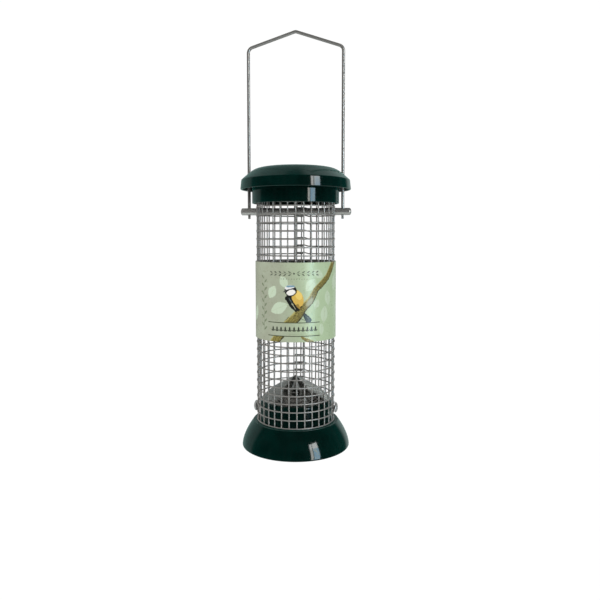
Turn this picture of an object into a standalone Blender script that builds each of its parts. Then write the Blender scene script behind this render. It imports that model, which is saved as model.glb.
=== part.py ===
"""Hanging peanut feeder: a welded-mesh tube with a cast base, slung from a wire hanger that its lid slides on.

Metres, +Z up. The origin is the inside of the hanger's peak, where a hook bears, and the
feeder hangs below it. X runs along the cross bar, and -Y faces the viewer.
"""

from math import cos, pi, radians, sin, tan

import bmesh
import bpy
from mathutils import Matrix, Vector

MM = 0.001
CLEARANCE = 0.3 * MM

# Welded mesh: quarter-inch cells, rings welded outside the upright wires.
PITCH = 6.35 * MM
MESH_WIRE = 1.0 * MM
RING_COUNT = 30
MESH_OUTER_R = 31.87 * MM
MESH_INNER_R = 30.0 * MM
MESH_TOP_RING_Z = -122.8 * MM
MESH_BOTTOM_RING_Z = MESH_TOP_RING_Z - (RING_COUNT - 1) * PITCH
STRUT = 1.0 * MM
STRUT_COLUMNS = 16

# Cross bar, on which the mesh hangs by its third ring.
BAR_D = 5.8 * MM
BAR_HALF_LENGTH = 44.5 * MM
BAR_Z = MESH_TOP_RING_Z - 2 * PITCH - STRUT / 2 - CLEARANCE / 2 - BAR_D / 2
BAR_DOME = 1.9 * MM
BAR_HOLE_D = 2.9 * MM

# Hanger: one wire, bent to a shallow roof above two straight legs.
WIRE_D = 2.5 * MM
LEG_X = 37.6 * MM
ROOF_SLOPE = radians(18)
PEAK_BEND_R = 3.2 * MM
SHOULDER_BEND_R = 4.6 * MM
STUB = 2.9 * MM
SPADE = 2.2 * MM
SPADE_TAPER = 0.6 * MM
SPADE_THIN, SPADE_WIDE = 0.8, 1.35

# Lid: a thin casting with a skirt round its edge and a collar over the mesh.
LID_WALL = 1.5 * MM
LID_APEX_Z = -103.3 * MM
LID_TOP_R, LID_TOP_Z = 29.0 * MM, -105.0 * MM
LID_KNEE_R, LID_KNEE_Z = 35.2 * MM, -107.2 * MM
LID_EDGE_R, LID_EDGE_Z = 43.3 * MM, -114.3 * MM
SKIRT_R, SKIRT_Z = 44.1 * MM, -121.9 * MM
COLLAR_R, COLLAR_Z = 34.7 * MM, -132.8 * MM
COLLAR_BORE_R = 33.3 * MM
LID_HOLE_D = 3.2 * MM
LID_EDGE_ROUND = 0.6 * MM
EDGE_BREAK = 0.4 * MM

# Base: a hollow casting with a flared bell, a plug inside the mesh and a cone on top.
BASE_WALL = 1.8 * MM
CONE_APEX_Z = -271.8 * MM
CONE_SLOPE = 0.545
CONE_TURN_R = 14.6 * MM
CONE_TURN = 0.02 / MM
PLUG_EDGE_R = 28.0 * MM
PLUG_EDGE_ROUND = 1.2 * MM
PLUG_R = 29.2 * MM
SHOULDER_Z = MESH_BOTTOM_RING_Z - STRUT / 2 - CLEARANCE
BELL_TOP_R = 34.4 * MM
BELL_R = 43.6 * MM
BELL_Z = -327.8 * MM
BELL_CURVE = 1.62
RIM_ROUND = 0.7 * MM

# Blind rivets through mesh and plug, one on each side.
RIVET_Z = -297.9 * MM
RIVET_HEAD_R = 4.2 * MM
RIVET_HEAD = 2.5 * MM
RIVET_SEAT_X = 32.1 * MM
RIVET_SHANK_R = 1.5 * MM
RIVET_HOLE_R = 1.9 * MM
RIVET_BULB_R = 2.5 * MM
RIVET_TAIL_X = 24.6 * MM

# Printed sleeve: a sheet rolled once round the mesh, its ends overlapping at the back.
SLEEVE_TOP_Z, SLEEVE_BOTTOM_Z = -178.5 * MM, -239.2 * MM
SLEEVE_R = 32.15 * MM
SLEEVE_THICK = 0.22 * MM
SLEEVE_LAP = radians(14)
SLEEVE_STEPS = 72

TURNED_STEPS = 36
GREEN = ("green_enamel", (0.006, 0.062, 0.052), 0.0, 0.12)
STAINLESS = ("stainless_wire", (0.55, 0.54, 0.52), 1.0, 0.28)
BRIGHT = ("polished_bar", (0.62, 0.61, 0.60), 1.0, 0.12)
PRINT = ("printed_sleeve", (0.52, 0.60, 0.47), 0.0, 0.3)


def clear_scene():
    for old in list(bpy.data.objects):
        bpy.data.objects.remove(old, do_unlink=True)


def material(look):
    """The Principled material of a (name, colour, metallic, roughness) look, made once."""
    name, colour, metallic, roughness = look
    found = bpy.data.materials.get(name) or bpy.data.materials.new(name)
    found.use_nodes = True
    found.diffuse_color = (*colour, 1)
    shader = found.node_tree.nodes["Principled BSDF"]
    shader.inputs["Base Color"].default_value = (*colour, 1)
    shader.inputs["Metallic"].default_value = metallic
    shader.inputs["Roughness"].default_value = roughness
    return found


def add_object(name, shape, look, parent=None):
    """Makes an object of a bmesh, smooth but for its sharp edges, and hangs it on its body's empty."""
    bmesh.ops.recalc_face_normals(shape, faces=shape.faces)
    mesh = bpy.data.meshes.new(name)
    shape.to_mesh(mesh)
    shape.free()
    mesh.shade_smooth()
    mesh.set_sharp_from_angle(angle=radians(35))
    made = bpy.data.objects.new(name, mesh)
    bpy.context.scene.collection.objects.link(made)
    if look:
        mesh.materials.append(material(look))
    if parent:
        made.parent = parent
        made.matrix_parent_inverse = Matrix.Translation(-parent.location)
    return made


def body_empty(name, place):
    """An empty on a body's joint axis, to which the body's pieces are parented."""
    empty = bpy.data.objects.new(name, None)
    empty.empty_display_size = 10 * MM
    empty.location = place
    bpy.context.scene.collection.objects.link(empty)
    return empty


def turned(outline, steps=TURNED_STEPS):
    """The solid that a closed outline of (radius, height) points sweeps in a full turn about Z."""
    shape = bmesh.new()
    corners = [shape.verts.new((r, 0, z)) for r, z in outline]
    edges = [shape.edges.new(pair) for pair in zip(corners, corners[1:] + corners[:1])]
    on_axis = [e for e in edges if all(v.co.x == 0 for v in e.verts)]
    for edge in on_axis:
        shape.edges.remove(edge)
    bmesh.ops.spin(
        shape, geom=shape.verts[:] + shape.edges[:], cent=(0, 0, 0), axis=(0, 0, 1),
        angle=2 * pi, steps=steps, use_merge=True,
    )
    bmesh.ops.remove_doubles(shape, verts=shape.verts, dist=1e-6)
    return shape


def arc(centre, radius, start, end, steps):
    """Points of an arc in a plane, from one angle to another."""
    turns = [start + (end - start) * i / steps for i in range(steps + 1)]
    return [(centre[0] + radius * cos(a), centre[1] + radius * sin(a)) for a in turns]


def cutter(name, radius, place, height, axis="Z"):
    """A cylinder that Booleans subtract. It isn't rendered."""
    shape = bmesh.new()
    bmesh.ops.create_cone(
        shape, cap_ends=True, segments=20, radius1=radius, radius2=radius, depth=height
    )
    if axis == "X":
        bmesh.ops.rotate(shape, verts=shape.verts, matrix=Matrix.Rotation(pi / 2, 3, "Y"))
    bmesh.ops.translate(shape, verts=shape.verts, vec=place)
    made = add_object(name, shape, None)
    made.hide_render = True
    made.display_type = "WIRE"
    return made


def drill(target, tool):
    cut = target.modifiers.new(tool.name, "BOOLEAN")
    cut.operation = "DIFFERENCE"
    cut.object = tool


def rounded_corner(before, corner, after, radius, steps):
    """Points of the arc that rounds a corner between two straight runs in the XZ plane."""
    inward = (before - corner).normalized()
    outward = (after - corner).normalized()
    half = inward.angle(outward) / 2
    centre = corner + (inward + outward).normalized() * radius / sin(half)
    first = corner + inward * radius / tan(half) - centre
    sweep = pi - 2 * half
    turn = 1 if inward.cross(outward).y > 0 else -1
    return [
        centre + Matrix.Rotation(-turn * sweep * i / steps, 3, "Y") @ first
        for i in range(steps + 1)
    ]


def hanger_path():
    """Centre line of the hanger, from the left stub's end over the peak to the right one's."""
    shoulder_z = WIRE_D / 2 - LEG_X * tan(ROOF_SLOPE)
    foot = Vector((-LEG_X, 0, BAR_Z - BAR_D / 2 - STUB))
    shoulder = Vector((-LEG_X, 0, shoulder_z))
    peak = Vector((0, 0, WIRE_D / 2 + PEAK_BEND_R * (1 / cos(ROOF_SLOPE) - 1)))
    right_shoulder = Vector((LEG_X, 0, shoulder_z))
    right_foot = Vector((LEG_X, 0, foot.z))
    spade_top = foot + Vector((0, 0, SPADE))
    path = [foot, spade_top, spade_top + Vector((0, 0, SPADE_TAPER))]
    path += rounded_corner(foot, shoulder, peak, SHOULDER_BEND_R, 6)
    path += rounded_corner(shoulder, peak, right_shoulder, PEAK_BEND_R, 4)
    path += rounded_corner(peak, right_shoulder, right_foot, SHOULDER_BEND_R, 6)
    return path + [Vector((-p.x, 0, p.z)) for p in reversed(path[:3])]


def add_hanger_wire(parent):
    """The wire, swept along its path and pinched flat at both ends so that the bar can't drop off."""
    sides = 10
    path = hanger_path()
    shape = bmesh.new()
    loops = []
    for i, point in enumerate(path):
        along = (path[min(i + 1, len(path) - 1)] - path[max(i - 1, 0)]).normalized()
        across = Vector((along.z, 0, -along.x))
        pinched = i < 2 or i > len(path) - 3
        thin, wide = (SPADE_THIN, SPADE_WIDE) if pinched else (1, 1)
        loop = []
        for side in range(sides):
            turn = 2 * pi * side / sides
            offset = across * thin * cos(turn) + Vector((0, 1, 0)) * wide * sin(turn)
            loop.append(shape.verts.new(point + offset * WIRE_D / 2))
        loops.append(loop)
    for lower, upper in zip(loops, loops[1:]):
        for i in range(sides):
            j = (i + 1) % sides
            shape.faces.new((lower[i], lower[j], upper[j], upper[i]))
    shape.faces.new(loops[0])
    shape.faces.new(loops[-1])
    add_object("hanger_wire", shape, STAINLESS, parent)


def add_cross_bar(parent):
    """A round bar with slightly domed ends and an upright hole near each for the hanger's legs."""
    radius = BAR_D / 2
    outline = [(0, BAR_HALF_LENGTH)]
    outline += [
        (radius * sin(a), BAR_HALF_LENGTH - BAR_DOME * (1 - cos(a)))
        for a in (pi / 8, pi / 4, 3 * pi / 8, pi / 2)
    ]
    outline += [(r, -z) for r, z in reversed(outline)]
    shape = turned(outline, 16)
    bmesh.ops.rotate(shape, verts=shape.verts, matrix=Matrix.Rotation(pi / 2, 3, "Y"))
    bmesh.ops.translate(shape, verts=shape.verts, vec=(0, 0, BAR_Z))
    bar = add_object("cross_bar", shape, BRIGHT, parent)
    for side, x in (("left", -LEG_X), ("right", LEG_X)):
        drill(bar, cutter(f"bar_hole_{side}", BAR_HOLE_D / 2, (x, 0, BAR_Z), 3 * BAR_D))


def lid_outline():
    """Half section of the lid: outside from the apex to the collar, then the inside back up."""
    wall = LID_WALL
    slope = (LID_KNEE_Z - LID_EDGE_Z) / (LID_EDGE_R - LID_KNEE_R)
    drop = LID_APEX_Z - LID_TOP_Z
    dome = [(LID_TOP_R * k / 3, LID_APEX_Z - drop * (k / 3) ** 2) for k in range(4)]
    outside = dome + [
        ((LID_TOP_R + LID_KNEE_R) / 2, LID_TOP_Z - 0.32 * (LID_TOP_Z - LID_KNEE_Z)),
        (LID_KNEE_R, LID_KNEE_Z),
        (LID_EDGE_R, LID_EDGE_Z),
        (LID_EDGE_R + EDGE_BREAK, LID_EDGE_Z - LID_EDGE_ROUND),
        (SKIRT_R, SKIRT_Z + EDGE_BREAK),
        (SKIRT_R - EDGE_BREAK, SKIRT_Z),
    ]
    inner_edge_r = LID_EDGE_R - wall
    inner_edge_z = LID_EDGE_Z - 0.9 * wall
    brim_z = inner_edge_z + slope * (inner_edge_r - COLLAR_R)
    inside = [
        (SKIRT_R - wall, SKIRT_Z),
        (inner_edge_r, inner_edge_z),
        (COLLAR_R, brim_z),
        (COLLAR_R, COLLAR_Z + EDGE_BREAK),
        (COLLAR_R - EDGE_BREAK, COLLAR_Z),
        (COLLAR_BORE_R, COLLAR_Z),
        (COLLAR_BORE_R, LID_KNEE_Z - wall),
    ]
    under_dome = [(r, z - wall) for r, z in reversed(dome)]
    return outside + inside + under_dome


def add_lid(parent):
    lid = add_object("lid", turned(lid_outline()), GREEN, parent)
    middle_z = (LID_KNEE_Z + LID_EDGE_Z) / 2
    for side, x in (("left", -LEG_X), ("right", LEG_X)):
        drill(lid, cutter(f"lid_hole_{side}", LID_HOLE_D / 2, (x, 0, middle_z), 12 * MM))


def add_mesh_tube(parent):
    """The welded tube as a lattice with every second wire, its struts as deep as the two wires."""
    rows = list(range(0, RING_COUNT - 1, 2)) + [RING_COUNT - 1]
    half_turn = STRUT / 2 / MESH_OUTER_R
    turns = []
    for column in range(STRUT_COLUMNS):
        middle = 2 * pi * (column + 0.5) / STRUT_COLUMNS
        turns += [middle - half_turn, middle + half_turn]
    heights = []
    for row in rows:
        z = MESH_TOP_RING_Z - row * PITCH
        heights += [z + STRUT / 2, z - STRUT / 2]
    shape = bmesh.new()
    outer, inner = (
        [[shape.verts.new((r * cos(a), r * sin(a), z)) for z in heights] for a in turns]
        for r in (MESH_OUTER_R, MESH_INNER_R)
    )
    for i in range(len(turns)):
        j = (i + 1) % len(turns)
        for k in range(len(heights) - 1):
            window = i % 2 == 1 and k % 2 == 1
            corners = [(i, k), (j, k), (j, k + 1), (i, k + 1)]
            if not window:
                for skin in (outer, inner):
                    shape.faces.new([skin[a][b] for a, b in corners])
                continue
            for (a, b), (c, d) in zip(corners, corners[1:] + corners[:1]):
                shape.faces.new((outer[a][b], outer[c][d], inner[c][d], inner[a][b]))
        for k in (0, -1):
            shape.faces.new((outer[i][k], outer[j][k], inner[j][k], inner[i][k]))
    add_object("mesh_tube", shape, STAINLESS, parent)


def bell_points(steps):
    """Outside of the bell: radius grows fast below the shoulder and ends nearly upright."""
    points = []
    for i in range(steps + 1):
        left = 1 - i / steps
        radius = BELL_TOP_R + (BELL_R - BELL_TOP_R) * (1 - left**BELL_CURVE)
        points.append((radius, BELL_Z + (SHOULDER_Z - BELL_Z) * left))
    return points


def cone_height(radius):
    """The cone is straight near its apex, and bends down with the square of the way past its turn."""
    past = max(radius - CONE_TURN_R, 0)
    return CONE_APEX_Z - CONE_SLOPE * radius - CONE_TURN * past**2


def base_outline():
    """Half section of the base: cone, plug, shoulder and bell, then the hollow inside back up."""
    wall = BASE_WALL
    radii = [0, CONE_TURN_R / 2] + [
        CONE_TURN_R + (PLUG_EDGE_R - CONE_TURN_R) * k / 4 for k in range(5)
    ]
    cone = [(r, cone_height(r)) for r in radii]
    plug_edge_z = cone[-1][1] - PLUG_EDGE_ROUND
    bell = bell_points(7)
    rim = arc((BELL_R - RIM_ROUND, BELL_Z), RIM_ROUND, 0, -pi / 2, 3)[1:]
    outside = cone + [(PLUG_R, plug_edge_z), (PLUG_R, SHOULDER_Z)] + bell + rim
    rim_z = BELL_Z - RIM_ROUND
    inside = [(BELL_R - 1.1 * wall, rim_z)]
    inside += [(r - 1.15 * wall, z - 0.25 * wall) for r, z in reversed(bell[1:-1])]
    inside += [
        (PLUG_R - wall + 1 * MM, SHOULDER_Z - wall),
        (PLUG_R - wall, SHOULDER_Z - wall + 1 * MM),
        (PLUG_R - wall, plug_edge_z - wall),
    ]
    under_cone = [(r * 0.94, z - 1.3 * wall) for r, z in reversed(cone[:-1])]
    return outside + inside + under_cone


def add_base(parent):
    base = add_object("base_casting", turned(base_outline()), GREEN, parent)
    for side, sign in (("left", -1), ("right", 1)):
        place = (sign * PLUG_R, 0, RIVET_Z)
        drill(base, cutter(f"base_hole_{side}", RIVET_HOLE_R, place, 8 * MM, "X"))


def add_rivet(name, sign, parent):
    """A blind rivet turned about X: domed head outside, shank, and the bulb set inside the plug."""
    wall_inside = PLUG_R - BASE_WALL
    dome = [
        (RIVET_HEAD_R * sin(a), RIVET_SEAT_X + RIVET_HEAD * (0.2 + 0.8 * cos(a)))
        for a in (pi / 16, pi / 6, pi / 3, pi / 2)
    ]
    outline = [(0, RIVET_SEAT_X + 1.2 * MM), (0.7 * MM, RIVET_SEAT_X + 1.2 * MM)] + dome + [
        (RIVET_HEAD_R, RIVET_SEAT_X),
        (RIVET_SHANK_R, RIVET_SEAT_X),
        (RIVET_SHANK_R, wall_inside - CLEARANCE),
        (RIVET_BULB_R, wall_inside - 2.2 * CLEARANCE),
        (RIVET_BULB_R, RIVET_TAIL_X + 1 * MM),
        (RIVET_BULB_R * 0.6, RIVET_TAIL_X),
        (0, RIVET_TAIL_X),
    ]
    shape = turned(outline, 14)
    quarter = Matrix.Rotation(sign * pi / 2, 3, "Y")
    bmesh.ops.rotate(shape, verts=shape.verts, matrix=quarter)
    bmesh.ops.translate(shape, verts=shape.verts, vec=(0, 0, RIVET_Z))
    add_object(name, shape, BRIGHT, parent)


def add_label_sleeve(parent):
    """The sheet, rolled from the back round to the back, its last stretch lifted over its first."""
    shape = bmesh.new()
    step_up = SLEEVE_THICK + CLEARANCE
    rings = []
    for i in range(SLEEVE_STEPS + 1):
        along = i / SLEEVE_STEPS
        turn = pi / 2 + along * (2 * pi + SLEEVE_LAP)
        past = min(max((turn - pi / 2 - 2 * pi + radians(12)) / radians(10), 0), 1)
        r = SLEEVE_R + step_up * past
        rings.append([
            shape.verts.new((q * cos(turn), q * sin(turn), z))
            for q, z in (
                (r, SLEEVE_TOP_Z), (r + SLEEVE_THICK, SLEEVE_TOP_Z),
                (r + SLEEVE_THICK, SLEEVE_BOTTOM_Z), (r, SLEEVE_BOTTOM_Z),
            )
        ])
    for first, second in zip(rings, rings[1:]):
        for i in range(4):
            j = (i + 1) % 4
            shape.faces.new((first[i], first[j], second[j], second[i]))
    shape.faces.new(rings[0])
    shape.faces.new(rings[-1])
    add_object("label_sleeve", shape, PRINT, parent)


def main():
    clear_scene()
    hanger = body_empty("hanger_body", (0, 0, 0))
    lid = body_empty("lid_body", (0, 0, LID_EDGE_Z))
    feeder = body_empty("feeder_body", (0, 0, BAR_Z))
    add_hanger_wire(hanger)
    add_cross_bar(hanger)
    add_lid(lid)
    add_mesh_tube(feeder)
    add_label_sleeve(feeder)
    add_base(feeder)
    add_rivet("rivet_left", -1, feeder)
    add_rivet("rivet_right", 1, feeder)


main()
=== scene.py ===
"""Looks of a hanging peanut feeder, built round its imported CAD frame.

Everything is in metres in the frame's own axes: +Z up, X along the cross bar, and the origin
at the inside of the hanger's peak.
"""

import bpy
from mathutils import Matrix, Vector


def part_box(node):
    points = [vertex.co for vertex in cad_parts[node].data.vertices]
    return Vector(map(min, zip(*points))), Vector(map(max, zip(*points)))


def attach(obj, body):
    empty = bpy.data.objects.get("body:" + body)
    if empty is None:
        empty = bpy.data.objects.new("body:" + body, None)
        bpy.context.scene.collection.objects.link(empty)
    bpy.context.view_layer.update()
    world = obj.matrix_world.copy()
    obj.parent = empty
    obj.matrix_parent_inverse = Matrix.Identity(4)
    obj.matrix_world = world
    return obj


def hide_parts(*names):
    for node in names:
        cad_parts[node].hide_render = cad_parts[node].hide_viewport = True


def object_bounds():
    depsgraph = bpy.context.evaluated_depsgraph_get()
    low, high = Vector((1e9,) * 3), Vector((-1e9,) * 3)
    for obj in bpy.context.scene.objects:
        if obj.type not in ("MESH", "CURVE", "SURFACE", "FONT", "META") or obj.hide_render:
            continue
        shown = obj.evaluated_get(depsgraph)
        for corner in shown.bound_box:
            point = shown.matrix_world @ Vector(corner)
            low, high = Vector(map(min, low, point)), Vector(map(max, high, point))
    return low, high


bl_info = {
    "name": "Hanging Peanut Feeder",
    "version": (1, 0, 0),
    "blender": (4, 5, 0),
    "location": "View3D > Sidebar > Feeder",
    "description": "Builds a hanging peanut feeder of welded mesh with its hanger, lid and base",
    "category": "Add Mesh",
}

from math import cos, pi, radians, sin, tan

import bmesh
import bpy
import numpy as np
from bpy.props import FloatProperty, FloatVectorProperty, IntProperty, PointerProperty
from mathutils import Matrix, Vector

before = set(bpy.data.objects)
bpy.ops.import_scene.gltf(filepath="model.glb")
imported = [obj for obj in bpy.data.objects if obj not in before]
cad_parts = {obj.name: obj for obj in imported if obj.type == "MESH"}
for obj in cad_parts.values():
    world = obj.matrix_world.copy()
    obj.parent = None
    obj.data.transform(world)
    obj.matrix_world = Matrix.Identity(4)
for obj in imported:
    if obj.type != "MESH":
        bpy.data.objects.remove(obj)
CAD_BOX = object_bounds()

MM = 0.001
TURN = 2 * pi

WIRE_LOW, WIRE_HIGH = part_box("hanger_wire")
BAR_LOW, BAR_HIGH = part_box("cross_bar")
LID_LOW, LID_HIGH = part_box("lid")
MESH_LOW, MESH_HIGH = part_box("mesh_tube")
SLEEVE_LOW, SLEEVE_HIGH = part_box("label_sleeve")
BASE_LOW, BASE_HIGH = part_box("base_casting")
RIVET_LOW, RIVET_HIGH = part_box("rivet_right")
BAR_Z = (BAR_LOW.z + BAR_HIGH.z) / 2
RIVET_Z = (RIVET_LOW.z + RIVET_HIGH.z) / 2


# ---------------------------------------------------------------- sizes and colours


def length(name, description, default):
    """A length property in metres."""
    return FloatProperty(
        name=name, description=description, default=default, min=0, unit="LENGTH", precision=5
    )


def angle(name, description, default):
    """An angle property, stated in degrees and kept in radians."""
    return FloatProperty(
        name=name, description=description, default=radians(default), unit="ROTATION"
    )


def colour(name, description, default):
    """A linear RGB colour property."""
    return FloatVectorProperty(
        name=name, description=description, default=default, subtype="COLOR", size=3, min=0, max=1
    )


class HangerSizes(bpy.types.PropertyGroup):
    """The bent wire and the bar that it carries."""

    wire: length("Wire", "Diameter of the hanger's wire", 2.5 * MM)
    slope: angle("Slope", "Fall of the hanger's roof from its peak to its shoulders", 18)
    peak_bend: length("Peak Bend", "Bend radius at the peak", 3.2 * MM)
    shoulder_bend: length("Shoulder Bend", "Bend radius where the roof turns into a leg", 4.6 * MM)
    spade: length("Spade", "Length of wire pinched flat under the bar", 2.4 * MM)
    bar_hole: length("Bar Hole", "Diameter of the holes in the bar", 2.9 * MM)
    bar_dome: length("Bar Dome", "Depth of the bar's domed ends", 1.5 * MM)


class LidSizes(bpy.types.PropertyGroup):
    """Shape of the lid's casting."""

    wall: length("Wall", "Thickness of the casting", 1.5 * MM)
    dome: length("Dome", "Fall of the shallow dome to the lid's edge", 3.2 * MM)
    knee: length("Knee", "Radius at which the sloped shoulder sets in", 33 * MM)
    knee_width: length("Knee Width", "How softly the shoulder sets in", 2 * MM)
    shoulder: FloatProperty(name="Shoulder", description="Slope of the shoulder", default=0.75)
    edge: length("Edge", "Radius where the shoulder meets the skirt", 43.3 * MM)
    edge_round: length("Edge Round", "Rounding of that edge", 1.3 * MM)
    skirt: length("Skirt", "Height of the skirt", 7.6 * MM)
    collar: length("Collar", "Outer radius of the collar over the mesh", 34.7 * MM)
    hole: length("Hole", "Diameter of the holes for the hanger's legs", 3.2 * MM)


class MeshSizes(bpy.types.PropertyGroup):
    """The welded wire mesh."""

    radius: length("Radius", "Outer radius of the rings", 31.87 * MM)
    wire: length("Wire", "Diameter of both layers of wire", 1.0 * MM)
    pitch: length("Pitch", "Distance from wire to wire", 6.35 * MM)
    rings: IntProperty(name="Rings", description="Number of rings", default=30, min=2)
    bite: length("Bite", "How deep the two layers melt into each other at a weld", 0.05 * MM)
    lean: angle("Lean", "Turn of the uprights from the top to the bottom", 1.8)
    lap: length("Lap", "How far the lapped ring ends step aside at the back", 1.02 * MM)
    give: length("Give", "How far the wires beside the cross bar give way to it", 0.75 * MM)


class SleeveSizes(bpy.types.PropertyGroup):
    """The printed sheet round the mesh."""

    thick: length("Thickness", "Thickness of the sheet", 0.22 * MM)
    lap: angle("Lap", "How far its ends lap at the back", 14)
    ripple: length("Ripple", "Height of the sheet's slow ripples", 0.08 * MM)


class BaseSizes(bpy.types.PropertyGroup):
    """Shape of the base's casting."""

    wall: length("Wall", "Thickness of the casting", 1.8 * MM)
    plug: length("Plug", "Radius of the plug inside the mesh", 29.2 * MM)
    cone_slope: FloatProperty(name="Cone Slope", description="Slope of the cone", default=0.545)
    cone_turn: length("Cone Turn", "Radius past which the cone bends down", 14.6 * MM)
    cone_bend: FloatProperty(name="Cone Bend", description="How fast it bends", default=20)
    shoulder: length("Shoulder", "Outer radius of the ledge that the mesh stands on", 34.4 * MM)
    bell: length("Bell", "Height of the bell below that ledge, with its rim", 20.75 * MM)
    curve: FloatProperty(name="Curve", description="How fast the bell turns upright", default=1.62)
    rim: length("Rim", "Rounding of the bell's rim", 0.7 * MM)


class Finishes(bpy.types.PropertyGroup):
    """Colours of the materials."""

    enamel: colour("Enamel", "Gloss enamel on the castings", (0.0002, 0.0082, 0.0064))
    enamel_deep: colour("Deep Enamel", "Enamel where it lies thick", (0.0001, 0.0055, 0.0043))
    steel: colour("Steel", "Stainless wire", (0.46, 0.445, 0.425))
    steel_dark: colour("Heat Tint", "Stainless wire round its welds", (0.25, 0.24, 0.22))
    bright: colour("Bright Steel", "Polished bar", (0.66, 0.65, 0.63))
    rivet: colour("Rivet", "Aluminium of the rivets", (0.72, 0.73, 0.72))
    print_left: colour("Print Left", "Ground of the print, on the left", (0.31, 0.335, 0.25))
    print_right: colour("Print Right", "Ground of the print, on the right", (0.40, 0.53, 0.33))
    print_pale: colour("Print Pale", "Pale leaves in the ground", (0.52, 0.64, 0.48))
    # Back of the sheet: near-black painted shade standing in for the shade inside the sleeve.
    sheet_back_painted_shade: colour("Sheet Back Painted Shade", "Back of the printed sheet", (0.02, 0.035, 0.03))


class StageSettings(bpy.types.PropertyGroup):
    """Camera, light and floor."""

    azimuth: angle("Azimuth", "Turn of the camera round the feeder, towards +X", 5.3)
    distance: length("Distance", "From the camera to the feeder's axis", 481.4 * MM)
    eye_level: FloatProperty(
        name="Eye Level", description="Height of the camera", default=-157.9 * MM, unit="LENGTH"
    )
    tilt: angle("Tilt", "How far the camera looks down", 4.291)
    aside: length("Aside", "How far the camera stands to the right of the axis", 3.47 * MM)
    lens: FloatProperty(name="Lens", description="Focal length in millimetres", default=35.81)
    shift: FloatProperty(
        name="Shift", description="Shift of the view, as a share of its width", default=-1 / 30
    )
    drop: length("Drop", "From the feeder's rim down to the floor", 450 * MM)


# ---------------------------------------------------------------- shapes as arrays


def smooth(t):
    """Smoothstep of a number from 0 to 1: 3t^2 - 2t^3."""
    return t**2 * (3 - 2 * t)


def falloff(distance, reach):
    """A Gaussian of a distance: 1 in the middle, and 1/e at its reach."""
    return np.exp(-((distance / reach) ** 2))


def away_from_axis(turn):
    """Unit vectors away from the Z axis at turns from the front, -Y, towards +X."""
    return np.stack([np.sin(turn), -np.cos(turn), np.zeros(np.shape(turn))], -1)


def leg_reach(wire):
    """Distance from the Z axis to the middle of a leg of the hanger."""
    return (WIRE_HIGH.x - WIRE_LOW.x) / 2 - wire / 2


def fillet(corners, radii, steps=8):
    """A line of points with each inner corner rounded, or left square where its radius is 0.

    The arc's centre lies on the corner's bisector, at radius / sin(half the corner's angle). Its
    points turn evenly from the one touching point to the other (spherical interpolation).
    """
    corners = np.asarray(corners, float)
    parts = [corners[:1]]
    for before, corner, after, radius in zip(corners, corners[1:], corners[2:], radii):
        if not radius:
            parts.append(corner[None])
            continue
        inward, outward = before - corner, after - corner
        inward /= np.linalg.norm(inward)
        outward /= np.linalg.norm(outward)
        half = np.arccos(np.clip(inward @ outward, -1, 1)) / 2
        bisector = (inward + outward) / np.linalg.norm(inward + outward)
        centre = corner + bisector * radius / sin(half)
        first = corner + inward * radius / tan(half) - centre
        last = corner + outward * radius / tan(half) - centre
        sweep = pi - 2 * half
        t = np.linspace(0, 1, steps + 1)[:, None]
        arc = (np.sin((1 - t) * sweep) * first + np.sin(t * sweep) * last) / sin(sweep)
        parts.append(centre + arc)
    parts.append(corners[-1:])
    return np.concatenate(parts)


def supported(line, near=0.12 * MM, longest=1.5 * MM):
    """The line with extra points, close to both ends of its long runs and evenly along it.

    They keep the shading of a flat run apart from that of the bend next to it.
    """
    runs = np.linalg.norm(np.diff(line, axis=0), axis=1)
    along = np.concatenate([[0], np.cumsum(runs)])
    long_runs = runs > 4 * near
    places = np.concatenate([
        along,
        along[:-1][long_runs] + near,
        along[1:][long_runs] - near,
        np.arange(0, along[-1], longest),
    ])
    places = np.unique(np.round(places, 8))
    places = places[np.concatenate([[True], np.diff(places) > 0.02 * MM])]
    return np.stack([np.interp(places, along, line[:, i]) for i in range(line.shape[1])], 1)


def turned(outline, steps=224):
    """The surface that an outline of (radius, height) sweeps in a full turn about Z."""
    turn = np.linspace(0, TURN, steps, endpoint=False)
    radius, height = outline[:, :1], outline[:, 1:]
    return np.stack([
        radius * np.cos(turn), radius * np.sin(turn), np.broadcast_to(height, (len(outline), steps))
    ], -1)[None]


def unit(vectors):
    """The vectors, each divided by its own length."""
    return vectors / np.linalg.norm(vectors, axis=-1, keepdims=True)


def swept(paths, radius, sides, outward, flatten=1.0):
    """Round sections carried along paths of shape (wires, points, 3).

    A section's point is the path's point plus radius times (cos a times the side direction and
    sin a times the outward one). Outward is made square to the path, and side is their cross
    product. Flatten narrows the section sideways and widens it outward.
    """
    along = unit(np.gradient(paths, axis=1))
    outward = np.broadcast_to(outward, paths.shape)
    outward = unit(outward - (outward * along).sum(-1, keepdims=True) * along)
    side = np.cross(along, outward)
    a = np.linspace(0, TURN, sides, endpoint=False)[:, None]
    radius = np.broadcast_to(radius, paths.shape[:2])[..., None, None]
    flatten = np.broadcast_to(flatten, paths.shape[:2])[..., None, None]
    section = np.cos(a) * side[:, :, None] * flatten + np.sin(a) * outward[:, :, None] / flatten
    return paths[:, :, None] + radius * section


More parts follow.
